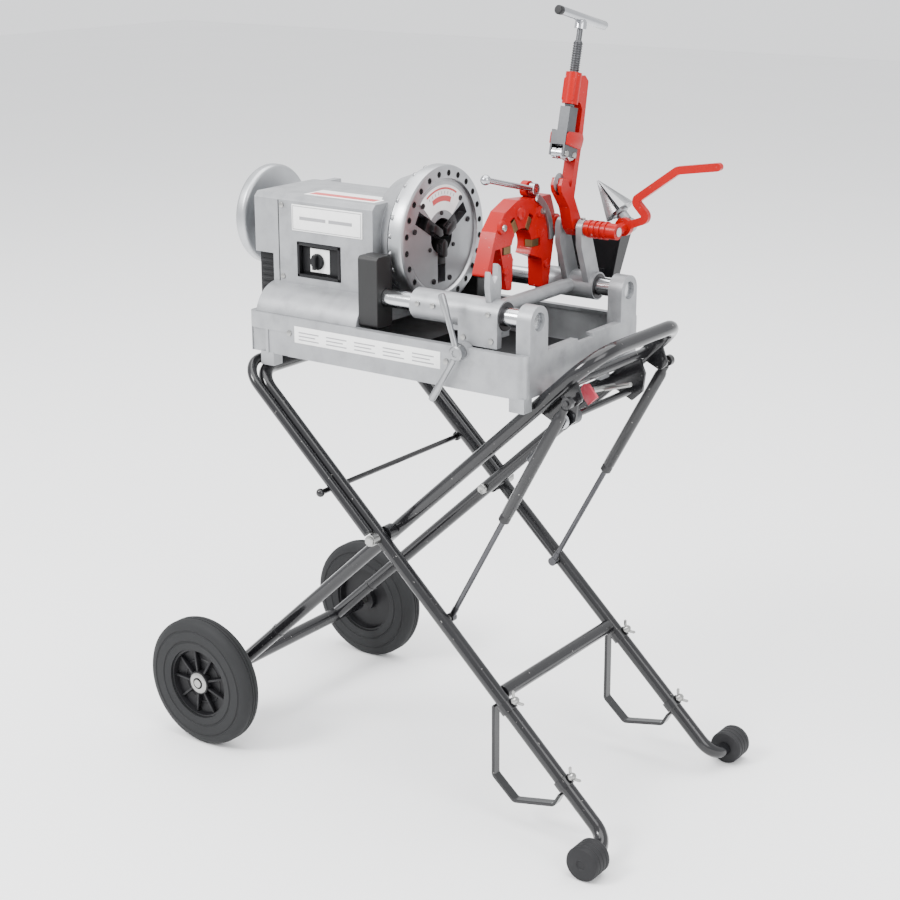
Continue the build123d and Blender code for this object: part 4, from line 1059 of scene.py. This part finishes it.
@dataclass
class Base:
    """The tray that carries the machine.

    Attributes:
        label_left: Left end of the label strip.
        label_right: Right end of the label strip.
        face: Where its front face lies.
    """

    label_left: float = -194 * MM
    label_right: float = 127 * MM
    face: float = -190 * MM

    def build(self) -> None:
        """Builds the base casting and what is on it."""
        softened("base_casting", "base_softened", Finishes.cast_grey, "machine", 0.0022)
        low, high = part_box("base_casting")
        face = self.face
        strip = Blank()
        strip.block((self.label_left, face - 0.0006, 0.814), (self.label_right, face + 0.0002, 0.844), 0.0002)
        strip.piece("label_strip", Finishes.label, "machine")
        marks = Blank()
        for index in range(5):
            left = self.label_left + 0.01 + index * 0.063
            for line in range(3):
                rise = 0.8195 + line * 0.0065
                right = left + 0.046 - 0.008 * (line % 2)
                marks.block((left, face - 0.0009, rise), (right, face - 0.0004, rise + 0.0022), 0.0001, 1)
        marks.piece("label_marks", Finishes.label_grey, "machine")
        screws = Blank()
        for x in (self.label_left - 0.012, self.label_right + 0.012):
            screws.turn(((0, 0), (0.0055, 0), (0.005, 0.0022), (0.0025, 0.0028), (0, 0.0028)),
                        Vector((x, face, 0.829)), -AXIS_Y, 24)
        for x in (low.x + 0.0045, high.x - 0.0045):
            for y in (-0.12, 0.12):
                way = AXIS_X if x > 0 else -AXIS_X
                screws.hexagon(Vector((x - way.x * 0.0045, y, 0.806)), way, 0.011, 0.0044)
        screws.piece("base_screws", Finishes.zinc, "machine")
        # A thin black sheet laid over the tray floor.
        skin = Blank()
        skin.block((-0.055, -0.176, 0.7935), (0.262, 0.176, 0.7942), 0.0002)
        skin.piece("tray_floor_black_sheet", Finishes.plastic, "machine")
        dress(Finishes.rail_steel, "guide_rails")
        # The clamps are real parts, but their near-black colour is painted shade for the shadowed gap between
        # the housing and the chuck ring.
        softened("rail_clamps", "rail_clamps_softened", Finishes.clamp_shade_black, "machine", 0.0016)


@dataclass
class Headstock:
    """The drive housing with its switch, plates and side panel.

    Attributes:
        front: Where its front face lies.
        left: Its left end.
    """

    front: float = -130 * MM
    left: float = -333 * MM

    def build(self) -> None:
        """Builds the housing and what is on it."""
        softened("headstock_housing", "housing_softened", Finishes.cast_grey, "machine", 0.0028)
        self.plates()
        self.switch()
        self.panel()
        self.trim()
        dress(Finishes.plain_steel, "spindle_bearings", "spindle_gear", "motor_pinion", "spindle_tube")
        dress(Finishes.cast_grey, "drive_motor")

    def plates(self) -> None:
        """Fixes the blank name plate and the band on the roof."""
        plate = Blank()
        plate.block((-0.243, self.front - 0.0022, 1.003), (-0.083, self.front + 0.0004, 1.050), 0.0006)
        plate.piece("name_plate", Finishes.label, "machine")
        near, far = self.front - 0.0026, self.front - 0.0018
        marks = Blank().border((-0.241, near, 1.005), (-0.085, far, 1.048), 0.0012, 0.0001, 1)
        for left, right in ((-0.225, -0.165), (-0.158, -0.105)):
            marks.block((left, near, 1.0235), (right, far, 1.0295), 0.0002, 1)
        marks.piece("name_plate_marks", Finishes.label_grey, "machine")
        band = Blank()
        band.block((-0.235, -0.106, 1.0647), (-0.075, -0.052, 1.0654), 0.0002)
        band.piece("roof_label", Finishes.label, "machine")
        stripe = Blank()
        stripe.block((-0.228, -0.099, 1.0652), (-0.082, -0.079, 1.0657), 0.0001, 1)
        stripe.piece("roof_label_stripe", Finishes.label_red, "machine")

    def switch(self) -> None:
        """Fits the switch frame, its plate and knob."""
        rim = Blank().border((-0.2335, self.front - 0.0014, 0.9195), (-0.1345, self.front + 0.0097, 0.9825),
                             0.0055, 0.0008)
        rim.block((-0.228, self.front + 0.0072, 0.925), (-0.140, self.front + 0.0097, 0.977), 0.0005)
        rim.piece("switch_frame", Finishes.plastic, "machine", "switch_plate")
        plate = Blank()
        plate.block((-0.208, self.front + 0.0056, 0.930), (-0.164, self.front + 0.0072, 0.973), 0.0005)
        plate.piece("switch_face", Finishes.label, "machine")
        knob = Blank()
        centre = Vector((-0.190, self.front + 0.0052, 0.950))
        knob.turn(((0, 0), (0.0145, 0), (0.0148, 0.003), (0.0132, 0.0058), (0, 0.0062)), centre, -AXIS_Y, 40)
        knob.block((-0.194, self.front - 0.0088, 0.9365), (-0.186, self.front + 0.001, 0.9635), 0.0022, 3)
        knob.rod((-0.190, self.front + 0.004, 0.950), (-0.190, self.front + 0.009, 0.950), 0.004)
        knob.piece("switch_knob_moulded", Finishes.plastic, "switch", "switch_knob")

    def panel(self) -> None:
        """Fits the slatted panel at the left end."""
        low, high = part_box("motor_panel")
        panel = Blank()
        panel.block((low.x, low.y + 0.0016, low.z), (high.x, high.y, high.z), 0.0012)
        for index in range(7):
            rise = low.z + 0.012 + 0.0105 * index
            panel.block((low.x + 0.005, low.y, rise), (high.x - 0.005, low.y + 0.0022, rise + 0.0055), 0.0008)
        panel.piece("motor_panel_slatted", Finishes.plastic, "machine", "motor_panel")

    def trim(self) -> None:
        """Adds the seam strip, cover screws and the oil plug."""
        seam = Blank()
        seam.block((-0.2768, self.front - 0.0005, 0.9065), (-0.2752, self.front + 0.0006, 1.0545), 0.0001, 1)
        seam.piece("cover_seam", Finishes.shadow, "machine")
        screws = Blank()
        for x, z in ((-0.268, 1.046), (-0.268, 0.916), (-0.070, 0.916)):
            screws.turn(((0, 0), (0.0052, 0), (0.005, 0.0018), (0.0028, 0.0026), (0, 0.0026)),
                        Vector((x, self.front, z)), -AXIS_Y, 24)
        screws.turn(((0, 0), (0.0072, 0), (0.0072, 0.003), (0.0045, 0.0062), (0, 0.0066)),
                    Vector((-0.075, self.front, 0.936)), -AXIS_Y, 28)
        for y in (-0.085, 0.06):
            screws.turn(((0, 0), (0.006, 0), (0.0055, 0.0022), (0, 0.003)),
                        Vector((self.left, y, 1.035)), -AXIS_X, 24)
        screws.piece("housing_screws", Finishes.zinc, "machine")


@dataclass
class Chuck:
    """The chuck with its handwheel ring, dial and jaws, and the rear handwheel.

    Attributes:
        face: Where the chuck body's face lies.
        ring_radius: Outer radius of the handwheel.
        ring_bore: Inner radius of the handwheel.
    """

    face: float = -6.5 * MM
    ring_radius: float = 127 * MM
    ring_bore: float = 97 * MM

    def build(self) -> None:
        """Builds the chuck and the rear handwheel."""
        self.ring()
        softened("chuck_body", "chuck_body_faced", Finishes.chuck_steel, "spindle", 0.0008)
        self.dial()
        self.jaws()
        softened("rear_handwheel", "rear_handwheel_faced", Finishes.chuck_steel, "rear_wheel", 0.0012)
        for jaw in ("rear_jaw_1", "rear_jaw_2", "rear_jaw_3"):
            softened(jaw, f"{jaw}_filed", Finishes.black_oxide, jaw, 0.0006)

    def ring(self) -> None:
        """Turns the handwheel ring and its ring of studs."""
        low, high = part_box("chuck_handwheel")
        slots = Blank()
        for angle in JAW_ANGLES:
            place = bar_frame(Vector((-0.02495, 0, SPINDLE_Z)), AXIS_X, ray(angle))
            corners = ((0.033, -0.0118), (0.0835, -0.0118), (0.0835, 0.0118), (0.033, 0.0118))
            slots.plate(corners, place, 0.0007)
        slots.piece("jaw_slot_floors", Finishes.black_oxide, "spindle")
        centre = Vector((0, 0, SPINDLE_Z))
        depth = high.x
        outline = ((self.ring_bore, low.x), (0.118, low.x), (0.1215, low.x + 0.002), (0.1215, -0.026),
                   (self.ring_radius, -0.0235), (self.ring_radius, depth - 0.0065),
                   (0.1255, depth - 0.0022), (0.1218, depth - 0.0003),
                   (0.1205, depth), (0.1035, depth), (0.1022, depth - 0.0012), (0.1008, depth - 0.0048),
                   (self.ring_bore, depth - 0.0058))
        body = Blank().turn(outline, centre, AXIS_X, 120)
        body.piece("chuck_ring_faced", Finishes.chuck_steel, "chuck_wheel", "chuck_handwheel", sharp=28)
        holes = Blank()
        studs = Blank()
        for index in range(24):
            spoke = ray(7.5 + 15 * index)
            spot = centre + spoke * 0.112 + AXIS_X * (depth - 0.0003)
            holes.turn(((0, 0), (0.0056, 0), (0.0056, 0.0003), (0, 0.0003)), spot, AXIS_X, 20)
            edge = centre + spoke * 0.1212 + AXIS_X * -0.029
            studs.ball(edge, 0.0052)
        holes.piece("chuck_ring_holes", Finishes.shadow, "chuck_wheel")
        studs.piece("chuck_ring_bosses", Finishes.plain_steel, "chuck_wheel")

    def dial(self) -> None:
        """Fixes the plain dial between the upper jaws, with its arcs and ticks."""
        place = side_frame(self.face - 0.0001, 0, SPINDLE_Z)
        dial = Blank().plate(sector(0.046, 0.091, 46, 134, 32), place, 0.0007, 0.0001, 1)
        dial.piece("chuck_dial", Finishes.label, "spindle")
        arcs = Blank()
        for inner, outer, start, end in ((0.083, 0.0865, 58, 122), (0.062, 0.072, 66, 114)):
            arcs.plate(sector(inner, outer, start, end, 24), place, 0.0010, 0.0001, 1)
        arcs.piece("chuck_dial_arcs", Finishes.label_red, "spindle")
        ticks = Blank()
        for index in range(9):
            angle = 62 + 7 * index
            ticks.plate(sector(0.0745, 0.080, angle, angle + 0.9, 1), place, 0.0010)
        ticks.piece("chuck_dial_ticks", Finishes.label_grey, "spindle")
        screws = Blank()
        for angle in JAW_ANGLES:
            for turned in (-17, 17):
                spot = Vector((self.face, 0, SPINDLE_Z)) + ray(angle + turned) * 0.083
                screws.turn(((0, 0), (0.0052, 0), (0.005, 0.002), (0.0024, 0.0024), (0.002, 0.0014),
                             (0, 0.0014)), spot, AXIS_X, 20)
            spot = Vector((self.face, 0, SPINDLE_Z)) + ray(angle + 60) * 0.041
            screws.turn(((0, 0), (0.0042, 0), (0.0038, 0.0018), (0, 0.0022)), spot, AXIS_X, 20)
        screws.piece("chuck_screws", Finishes.black_oxide, "spindle")

    def jaws(self) -> None:
        """Shapes the three hammer jaws with their toothed tips."""
        for index, angle in enumerate(JAW_ANGLES):
            low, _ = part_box("chuck_jaw_1")
            place = bar_frame(Vector((low.x, 0, SPINDLE_Z)), AXIS_X, ray(angle))
            half = 0.0117
            jaw = Blank()
            jaw.plate(((0.0055, 0), (0.014, -half), (0.0515, -half), (0.0515, half), (0.014, half)),
                      place, 0.0175, 0.0008)
            jaw.plate(((0.0052, 0), (0.012, -0.0075), (0.034, -0.0082), (0.038, -0.0055), (0.038, 0.0055),
                       (0.034, 0.0082), (0.012, 0.0075)), place, 0.0258, 0.0010)
            for tooth in range(4):
                low_end = 0.012 + 0.0055 * tooth
                high_end = low_end + 0.003
                jaw.plate(((low_end, -0.0095), (high_end, -0.0095), (high_end, 0.0095), (low_end, 0.0095)),
                          place, 0.0222, 0.0006)
            jaw.piece(f"chuck_jaw_{index + 1}_filed", Finishes.black_oxide, f"chuck_jaw_{index + 1}",
                      f"chuck_jaw_{index + 1}")


@dataclass
class Carriage:
    """The sliding carriage with its lever and tray.

    Attributes:
        rail_y: How far each rail lies from the spindle line.
        rail_z: Height of the rails.
        rail_bore: Inner radius of the wiper rings.
        teeth: Ribs round the lever's hub.
    """

    rail_y: float = 147 * MM
    rail_z: float = 911 * MM
    rail_bore: float = 16.3 * MM
    teeth: int = 22

    def build(self) -> None:
        """Builds the carriage."""
        for node in ("carriage_front", "carriage_rear"):
            softened(node, f"{node}_softened", Finishes.cast_grey, "carriage", 0.0018)
        softened("rear_tray", "tool_bin", Finishes.bin_plastic, "carriage", 0.0010)
        dress(Finishes.rail_steel, "tool_hinge_bar")
        self.collars()
        self.lever()

    def collars(self) -> None:
        """Adds the wiper rings, set screws and hinge bar collars."""
        rings = Blank()
        for x, end, y, outer, edge in ((0.050, 0.048, -self.rail_y, 0.0245, 0.0006),
                                       (0.231, 0.233, -self.rail_y, 0.0245, 0.0006),
                                       (0.112, 0.111, self.rail_y, 0.0225, 0.0002),
                                       (0.234, 0.235, self.rail_y, 0.0225, 0.0002)):
            rings.ring((x, y, self.rail_z), (end, y, self.rail_z), self.rail_bore, outer, edge)
        fork = Blank()
        corners = ((-0.014, 0.0), (0.014, 0.0), (0.017, 0.028), (0.014, 0.060), (0.006, 0.066),
                   (0.005, 0.044), (-0.004, 0.034), (-0.011, 0.046), (-0.017, 0.056), (-0.019, 0.030))
        fork.plate(corners, side_frame(0.199, -self.rail_y, self.rail_z + 0.020), 0.012, 0.0015)
        fork.piece("die_head_rest", Finishes.cast_grey, "carriage")
        rings.piece("rail_wipers", Finishes.black_oxide, "carriage")
        screws = Blank()
        for x in (0.068, 0.100, 0.213):
            spot = Vector((x, -self.rail_y - 0.0262, self.rail_z + 0.006))
            screws.hexagon(spot, -AXIS_Y, 0.009, 0.0035)
        for x in (0.163, 0.219):
            spot = Vector((x, -0.174, 0.872))
            screws.turn(((0, 0), (0.0052, 0), (0.005, 0.002), (0, 0.0028)), spot, -AXIS_Y, 24)
        for x in (0.118, 0.221):
            screws.hexagon(Vector((x, 0.110, 1.0345)), AXIS_Z, 0.008, 0.0032)
        screws.piece("carriage_screws", Finishes.zinc, "carriage")

    def lever(self) -> None:
        """Shapes the two-armed carriage lever with its ribbed hub."""
        centre = joint_at("carriage_lever_turn")
        lever = Blank()
        hub = Vector((centre.x, -0.195, centre.z))
        lever.turn(((0, 0), (0.0125, 0), (0.013, 0.002), (0.013, 0.0135), (0.0105, 0.0158), (0.006, 0.016),
                    (0.0052, 0.0142), (0, 0.0142)), hub, -AXIS_Y, 36)
        for angle in (107, -120):
            way = Vector((math.cos(math.radians(angle)), 0, math.sin(math.radians(angle))))
            end = Vector((centre.x, -0.2065, centre.z)) + way * 0.103
            start = Vector((centre.x, -0.203, centre.z)) + way * 0.006
            run = end - start
            length = run.length
            lever.turn(((0, 0), (0.0056, 0), (0.0048, length * 0.3), (0.0052, length * 0.62),
                        (0.0064, length * 0.72), (0.0064, length * 0.95), (0.0052, length * 0.99),
                        (0, length)), start, run, 28)
        lever.rod((centre.x, -0.196, centre.z), (centre.x, -0.142, centre.z), 0.007)
        outline = []
        for tooth in range(self.teeth):
            angle = 360 / self.teeth * tooth
            for turned, radius in ((-5.2, 0.0228), (-2.4, 0.0254), (2.4, 0.0254), (5.2, 0.0228)):
                spoke = math.radians(angle + turned)
                outline.append((radius * math.cos(spoke), radius * math.sin(spoke)))
        lever.plate(outline, front_frame(centre.x, -0.142, centre.z), 0.014)
        lever.piece("carriage_lever_turned", Finishes.plain_steel, "carriage_lever", "carriage_lever")


@dataclass
class DieHead:
    """The die head, its throw lever and chasers.

    Attributes:
        face: Where the front of the head lies.
        ball_y: Where the lever's ball lies.
        ball_z: Height of the lever's ball.
    """

    face: float = 164 * MM
    ball_y: float = -99 * MM
    ball_z: float = 1125 * MM

    def build(self) -> None:
        """Builds the die head."""
        softened("die_head_body", "die_head_softened", Finishes.tool_red, "die_head", 0.0028)
        softened("die_cam_plate", "die_cam_plate_softened", Finishes.plain_steel, "die_head", 0.0006)
        for index in range(1, 5):
            node = f"die_chaser_{index}"
            softened(node, f"{node}_ground", Finishes.brass, f"chaser_{index}", 0.0008)
        self.bosses()
        self.lever()

    def bosses(self) -> None:
        """Adds the cast bosses and screws on the front of the head."""
        bosses = Blank()
        for y, z, radius in ((-0.062, 1.040, 0.013), (-0.005, 1.056, 0.012), (0.058, 1.052, 0.013),
                             (0.080, 0.955, 0.009), (-0.052, 0.962, 0.007)):
            bosses.turn(((0, 0), (radius, 0), (radius * 0.86, 0.0045), (radius * 0.5, 0.006), (0, 0.006)),
                        Vector((self.face - 0.001, y, z)), AXIS_X, 32)
        bosses.turn(((0.0082, 0), (0.0185, 0), (0.0175, 0.005), (0.0145, 0.007), (0.0082, 0.007)),
                    Vector((self.face - 0.001, 0.110, 1.020)), AXIS_X, 36)
        bosses.piece("die_head_bosses", Finishes.tool_red, "die_head")
        screws = Blank()
        for y, z in ((-0.062, 1.040), (0.058, 1.052)):
            screws.turn(((0, 0), (0.006, 0), (0.0056, 0.003), (0.0026, 0.0036), (0.002, 0.002), (0, 0.002)),
                        Vector((self.face + 0.0045, y, z)), AXIS_X, 24)
        screws.piece("die_head_screws", Finishes.zinc, "die_head")

    def lever(self) -> None:
        """Shapes the throw lever with its ball."""
        hinge = joint_at("die_throw")
        lever = Blank()
        lever.ring(hinge - AXIS_X * 0.0058, hinge + AXIS_X * 0.0058, 0.0042, 0.011)
        ball = (hinge.x, self.ball_y, self.ball_z)
        lever.tube((hinge + Vector((0, -0.009, 0.002)), (hinge.x, -0.045, 1.112), ball), (0.03,), 0.0052)
        lever.ball(ball, 0.009)
        lever.piece("die_throw_lever_bent", Finishes.chrome, "die_lever", "die_throw_lever")


@dataclass
class Cutter:
    """The wheel cutter, swung up.

    Attributes:
        pitch: Pitch of the feed screw.
        thread_start: Where its thread starts.
        thread_end: Where its thread ends.
    """

    pitch: float = 4 * MM
    thread_start: float = 113 * MM
    thread_end: float = 218 * MM

    def __post_init__(self) -> None:
        """Works out the screw's line from the joints."""
        self.way = Vector(JOINTS["feed_screw_turn"]["axis"])
        self.across = Vector((0, self.way.z, -self.way.y))
        self.centre = joint_at("feed_screw_turn") - self.way * 0.200

    def at(self, v: float, u: float, x: float = 0.0) -> Vector:
        """Gives a point across and along the screw from where the pipe lies."""
        return self.centre + self.across * v + self.way * u + AXIS_X * x

    def build(self) -> None:
        """Builds the cutter."""
        softened("cutter_frame", "cutter_frame_softened", Finishes.tool_red, "cutter", 0.0024)
        softened("cutter_slide", "cutter_slide_softened", Finishes.slide_steel, "cutter_slide", 0.0012)
        for index, v in enumerate((-0.013, 0.013)):
            start = self.at(v, 0.030, -0.0108)
            roller = Blank().turn(((0.0031, 0), (0.0095, 0), (0.011, 0.0015), (0.011, 0.0085),
                                   (0.0098, 0.0095), (0.0098, 0.0121), (0.011, 0.0131), (0.011, 0.0201),
                                   (0.0095, 0.0216), (0.0031, 0.0216)), start, AXIS_X, 32)
            roller.piece(f"cutter_roller_{index + 1}_turned", Finishes.chrome, f"cutter_roller_{index + 1}",
                         f"cutter_roller_{index + 1}")
        wheel = Blank().turn(((0.0031, -0.0025), (0.008, -0.0025), (0.009, -0.0018), (0.0168, -0.0002),
                              (0.0168, 0.0002), (0.009, 0.0018), (0.008, 0.0025), (0.0031, 0.0025)),
                             self.at(0, -0.020), AXIS_X, 56)
        wheel.piece("cutter_wheel_ground", Finishes.plain_steel, "cutter_wheel", "cutter_wheel")
        self.screw()
        cheek = Blank()
        for x, way in ((-0.015, -1), (0.015, 1)):
            for v in (-0.013, 0.013):
                cheek.turn(((0, 0), (0.0056, 0), (0.005, 0.0016), (0, 0.0022)), self.at(v, 0.030, x),
                           AXIS_X * way, 24)
        cheek.piece("roller_pin_heads", Finishes.zinc, "cutter_slide")
        housing = Blank()
        corners = ((0.041, -0.021), (0.045, -0.031), (0.060, -0.034), (0.067, -0.030), (0.069, -0.014),
                   (0.067, 0.016), (0.063, 0.021), (0.045, 0.021))
        for x in (-0.0178, 0.0152):
            housing.plate(corners, bar_frame(self.at(0, 0, x), AXIS_X, self.way), 0.0026, 0.0008)
        nose = ((0.044, -0.0222), (0.046, -0.031), (0.060, -0.034), (0.066, -0.031), (0.067, -0.0222))
        housing.plate(nose, bar_frame(self.at(0, 0, -0.0160), AXIS_X, self.way), 0.032, 0.0012)
        housing.piece("roller_housing", Finishes.tool_red, "cutter_slide")

    def screw(self) -> None:
        """Turns the feed screw with its thread, and the T bar with its black end."""
        outline = [(0, 0.1105), (0.0078, 0.1105)]
        crest = self.thread_start
        while crest < self.thread_end:
            outline += [(0.0085, crest), (0.0085, crest + 0.0012), (0.0072, crest + 0.002),
                        (0.0072, crest + 0.0028)]
            crest += self.pitch
        outline += [(0.0078, 0.2192), (0.0065, 0.222), (0.005, 0.224), (0.005, 0.2560), (0, 0.2560)]
        screw = Blank().turn(outline, self.centre, self.way, 32)
        screw.piece("feed_screw_turned", Finishes.slide_steel, "feed_screw", "cutter_feed_screw", sharp=20)
        bar = Blank()
        bar.turn(((0, 0), (0.0066, 0.0004), (0.0078, 0.003), (0.0078, 0.150), (0.0066, 0.1526), (0, 0.153)),
                 self.at(-0.072, 0.262), self.across, 32)
        bar.turn(((0, 0), (0.0105, 0), (0.0105, 0.012), (0.0085, 0.0155), (0, 0.0155)),
                 self.at(0, 0.2425), self.way, 32)
        bar.piece("feed_bar", Finishes.chrome, "feed_screw")
        cap = Blank().turn(((0, 0), (0.0062, 0.0002), (0.0079, 0.002), (0.0080, 0.010), (0.0074, 0.0115),
                            (0, 0.0115)), self.at(-0.0795, 0.262), self.across, 28)
        cap.piece("feed_bar_cap", Finishes.plastic, "feed_screw")


@dataclass
class Reamer:
    """The reamer, swung back on the hinge bar.

    Attributes:
        base: Radius of the cone's base.
        length: The cone's length.
        flutes: Cutting edges round the cone.
    """

    base: float = 29.5 * MM
    length: float = 71 * MM
    flutes: int = 5

    def build(self) -> None:
        """Builds the arm and the cone."""
        softened("reamer_arm", "reamer_arm_softened", Finishes.tool_red, "reamer_arm", 0.0018)
        hub = joint_at("reamer_tilt")
        way = Vector((-0.68, 0, 0.733)).normalized()
        head = Blank()
        head.ring(hub - AXIS_Y * 0.0075, hub + AXIS_Y * 0.006, 0.0062, 0.013)
        head.turn(((0.0, 0.010), (0.0108, 0.010), (0.0108, 0.024), (0.016, 0.026), (0.016, 0.0302),
                   (0.0, 0.0302)), hub, way, 36)
        self.cone(head, hub + way * 0.030, way)
        head.piece("reamer_cone_fluted", Finishes.plain_steel, "reamer_head", "reamer_head", sharp=24)

    def cone(self, head: Blank, base: Vector, way: Vector) -> None:
        """Adds the fluted cone.

        Args:
            head: The blank that it is added to.
            base: Centre of its base.
            way: The way it points.
        """
        corners = []
        for index in range(self.flutes):
            start = 360 / self.flutes * index
            for turned, depth in ((0, 1.0), (24, 0.985), (44, 0.95), (58, 0.90), (64, 0.62), (70, 0.80)):
                spoke = math.radians(start + turned)
                corners.append((depth * math.cos(spoke), depth * math.sin(spoke)))
        part = bmesh.new()
        face = part.faces.new([part.verts.new((x * self.base, y * self.base, 0)) for x, y in corners])
        last = 1.0
        for share in (0.05, 0.5, 0.97):
            pushed = bmesh.ops.extrude_face_region(part, geom=[face])["geom"]
            rim = [item for item in pushed if isinstance(item, bmesh.types.BMVert)]
            face = next(item for item in pushed if isinstance(item, bmesh.types.BMFace))
            size = 1 - 0.97 * share
            bmesh.ops.translate(part, verts=rim, vec=(0, 0, self.length * share - rim[0].co.z))
            bmesh.ops.scale(part, verts=rim, vec=(size / last, size / last, 1))
            last = size
        head.add(part, bar_frame(base, way))


# ---------------------------------------------------------------------------
# Studio
# ---------------------------------------------------------------------------


@dataclass
class Studio:
    """The floor, lights and camera.

    Attributes:
        eye: Where the camera stands.
        tilt: Its angle from straight down, in degrees.
        turn: Its turn round Z, in degrees.
        lens: Its focal length in millimetres.
    """

    eye: tuple[float, float, float] = (1.8364, -2.5642, 1.5959)
    tilt: float = 72.4465
    turn: float = 35.4314
    lens: float = 71.52

    def build(self) -> None:
        """Sets up the studio."""
        floor = bpy.data.meshes.new("floor")
        sheet = bmesh.new()
        bmesh.ops.create_grid(sheet, x_segments=1, y_segments=1, size=14)
        sheet.to_mesh(floor)
        sheet.free()
        stage = bpy.data.objects.new("floor", floor)
        bpy.context.scene.collection.objects.link(stage)
        paper = Graph("paper_floor")
        cloud = paper.noise(1.3, 3)
        sheet_colour = paper.mix(cloud, (0.93, 0.93, 0.93), (0.9, 0.9, 0.9))
        paper.set(Base_Color=sheet_colour, Roughness=0.75 + cloud * 0.1)
        floor.materials.append(paper.material)
        self.lights()
        self.camera()

    def lights(self) -> None:
        """Hangs three soft lights in a pale room."""
        world = bpy.data.worlds.new("room")
        world.use_nodes = True
        background = world.node_tree.nodes["Background"]
        background.inputs["Color"].default_value = (0.97, 0.98, 1.0, 1.0)
        background.inputs["Strength"].default_value = 1.5
        bpy.context.scene.world = world
        target = Vector((0.05, 0, 0.75))
        for name, spot, size, power in (
            ("key", (-1.8, -3.4, 3.8), 1.6, 280),
            ("fill", (3.6, -1.4, 2.6), 2.4, 90),
            ("top", (0.0, 0.2, 5.4), 6.0, 500),
        ):
            light = bpy.data.lights.new(name, "AREA")
            light.energy = power
            light.size = size
            lamp = bpy.data.objects.new(name, light)
            lamp.location = spot
            lamp.rotation_euler = (target - Vector(spot)).to_track_quat("-Z", "Y").to_euler()
            bpy.context.scene.collection.objects.link(lamp)

    def camera(self) -> None:
        """Stands the camera where the machine is seen from the front right."""
        lens = bpy.data.cameras.new("camera")
        lens.lens = self.lens
        lens.sensor_width = 36
        camera = bpy.data.objects.new("camera", lens)
        camera.location = self.eye
        camera.rotation_euler = (math.radians(self.tilt), 0, math.radians(self.turn))
        bpy.context.scene.collection.objects.link(camera)
        bpy.context.scene.camera = camera


def main() -> None:
    """Builds every sub-assembly in order."""
    logging.basicConfig(level=logging.INFO, format="%(message)s")
    for assembly in (Studio, Wheels, Stand, GasStruts, Base, Headstock, Chuck, Carriage, DieHead, Cutter,
                     Reamer):
        assembly().build()


if __name__ == "__main__":
    main()
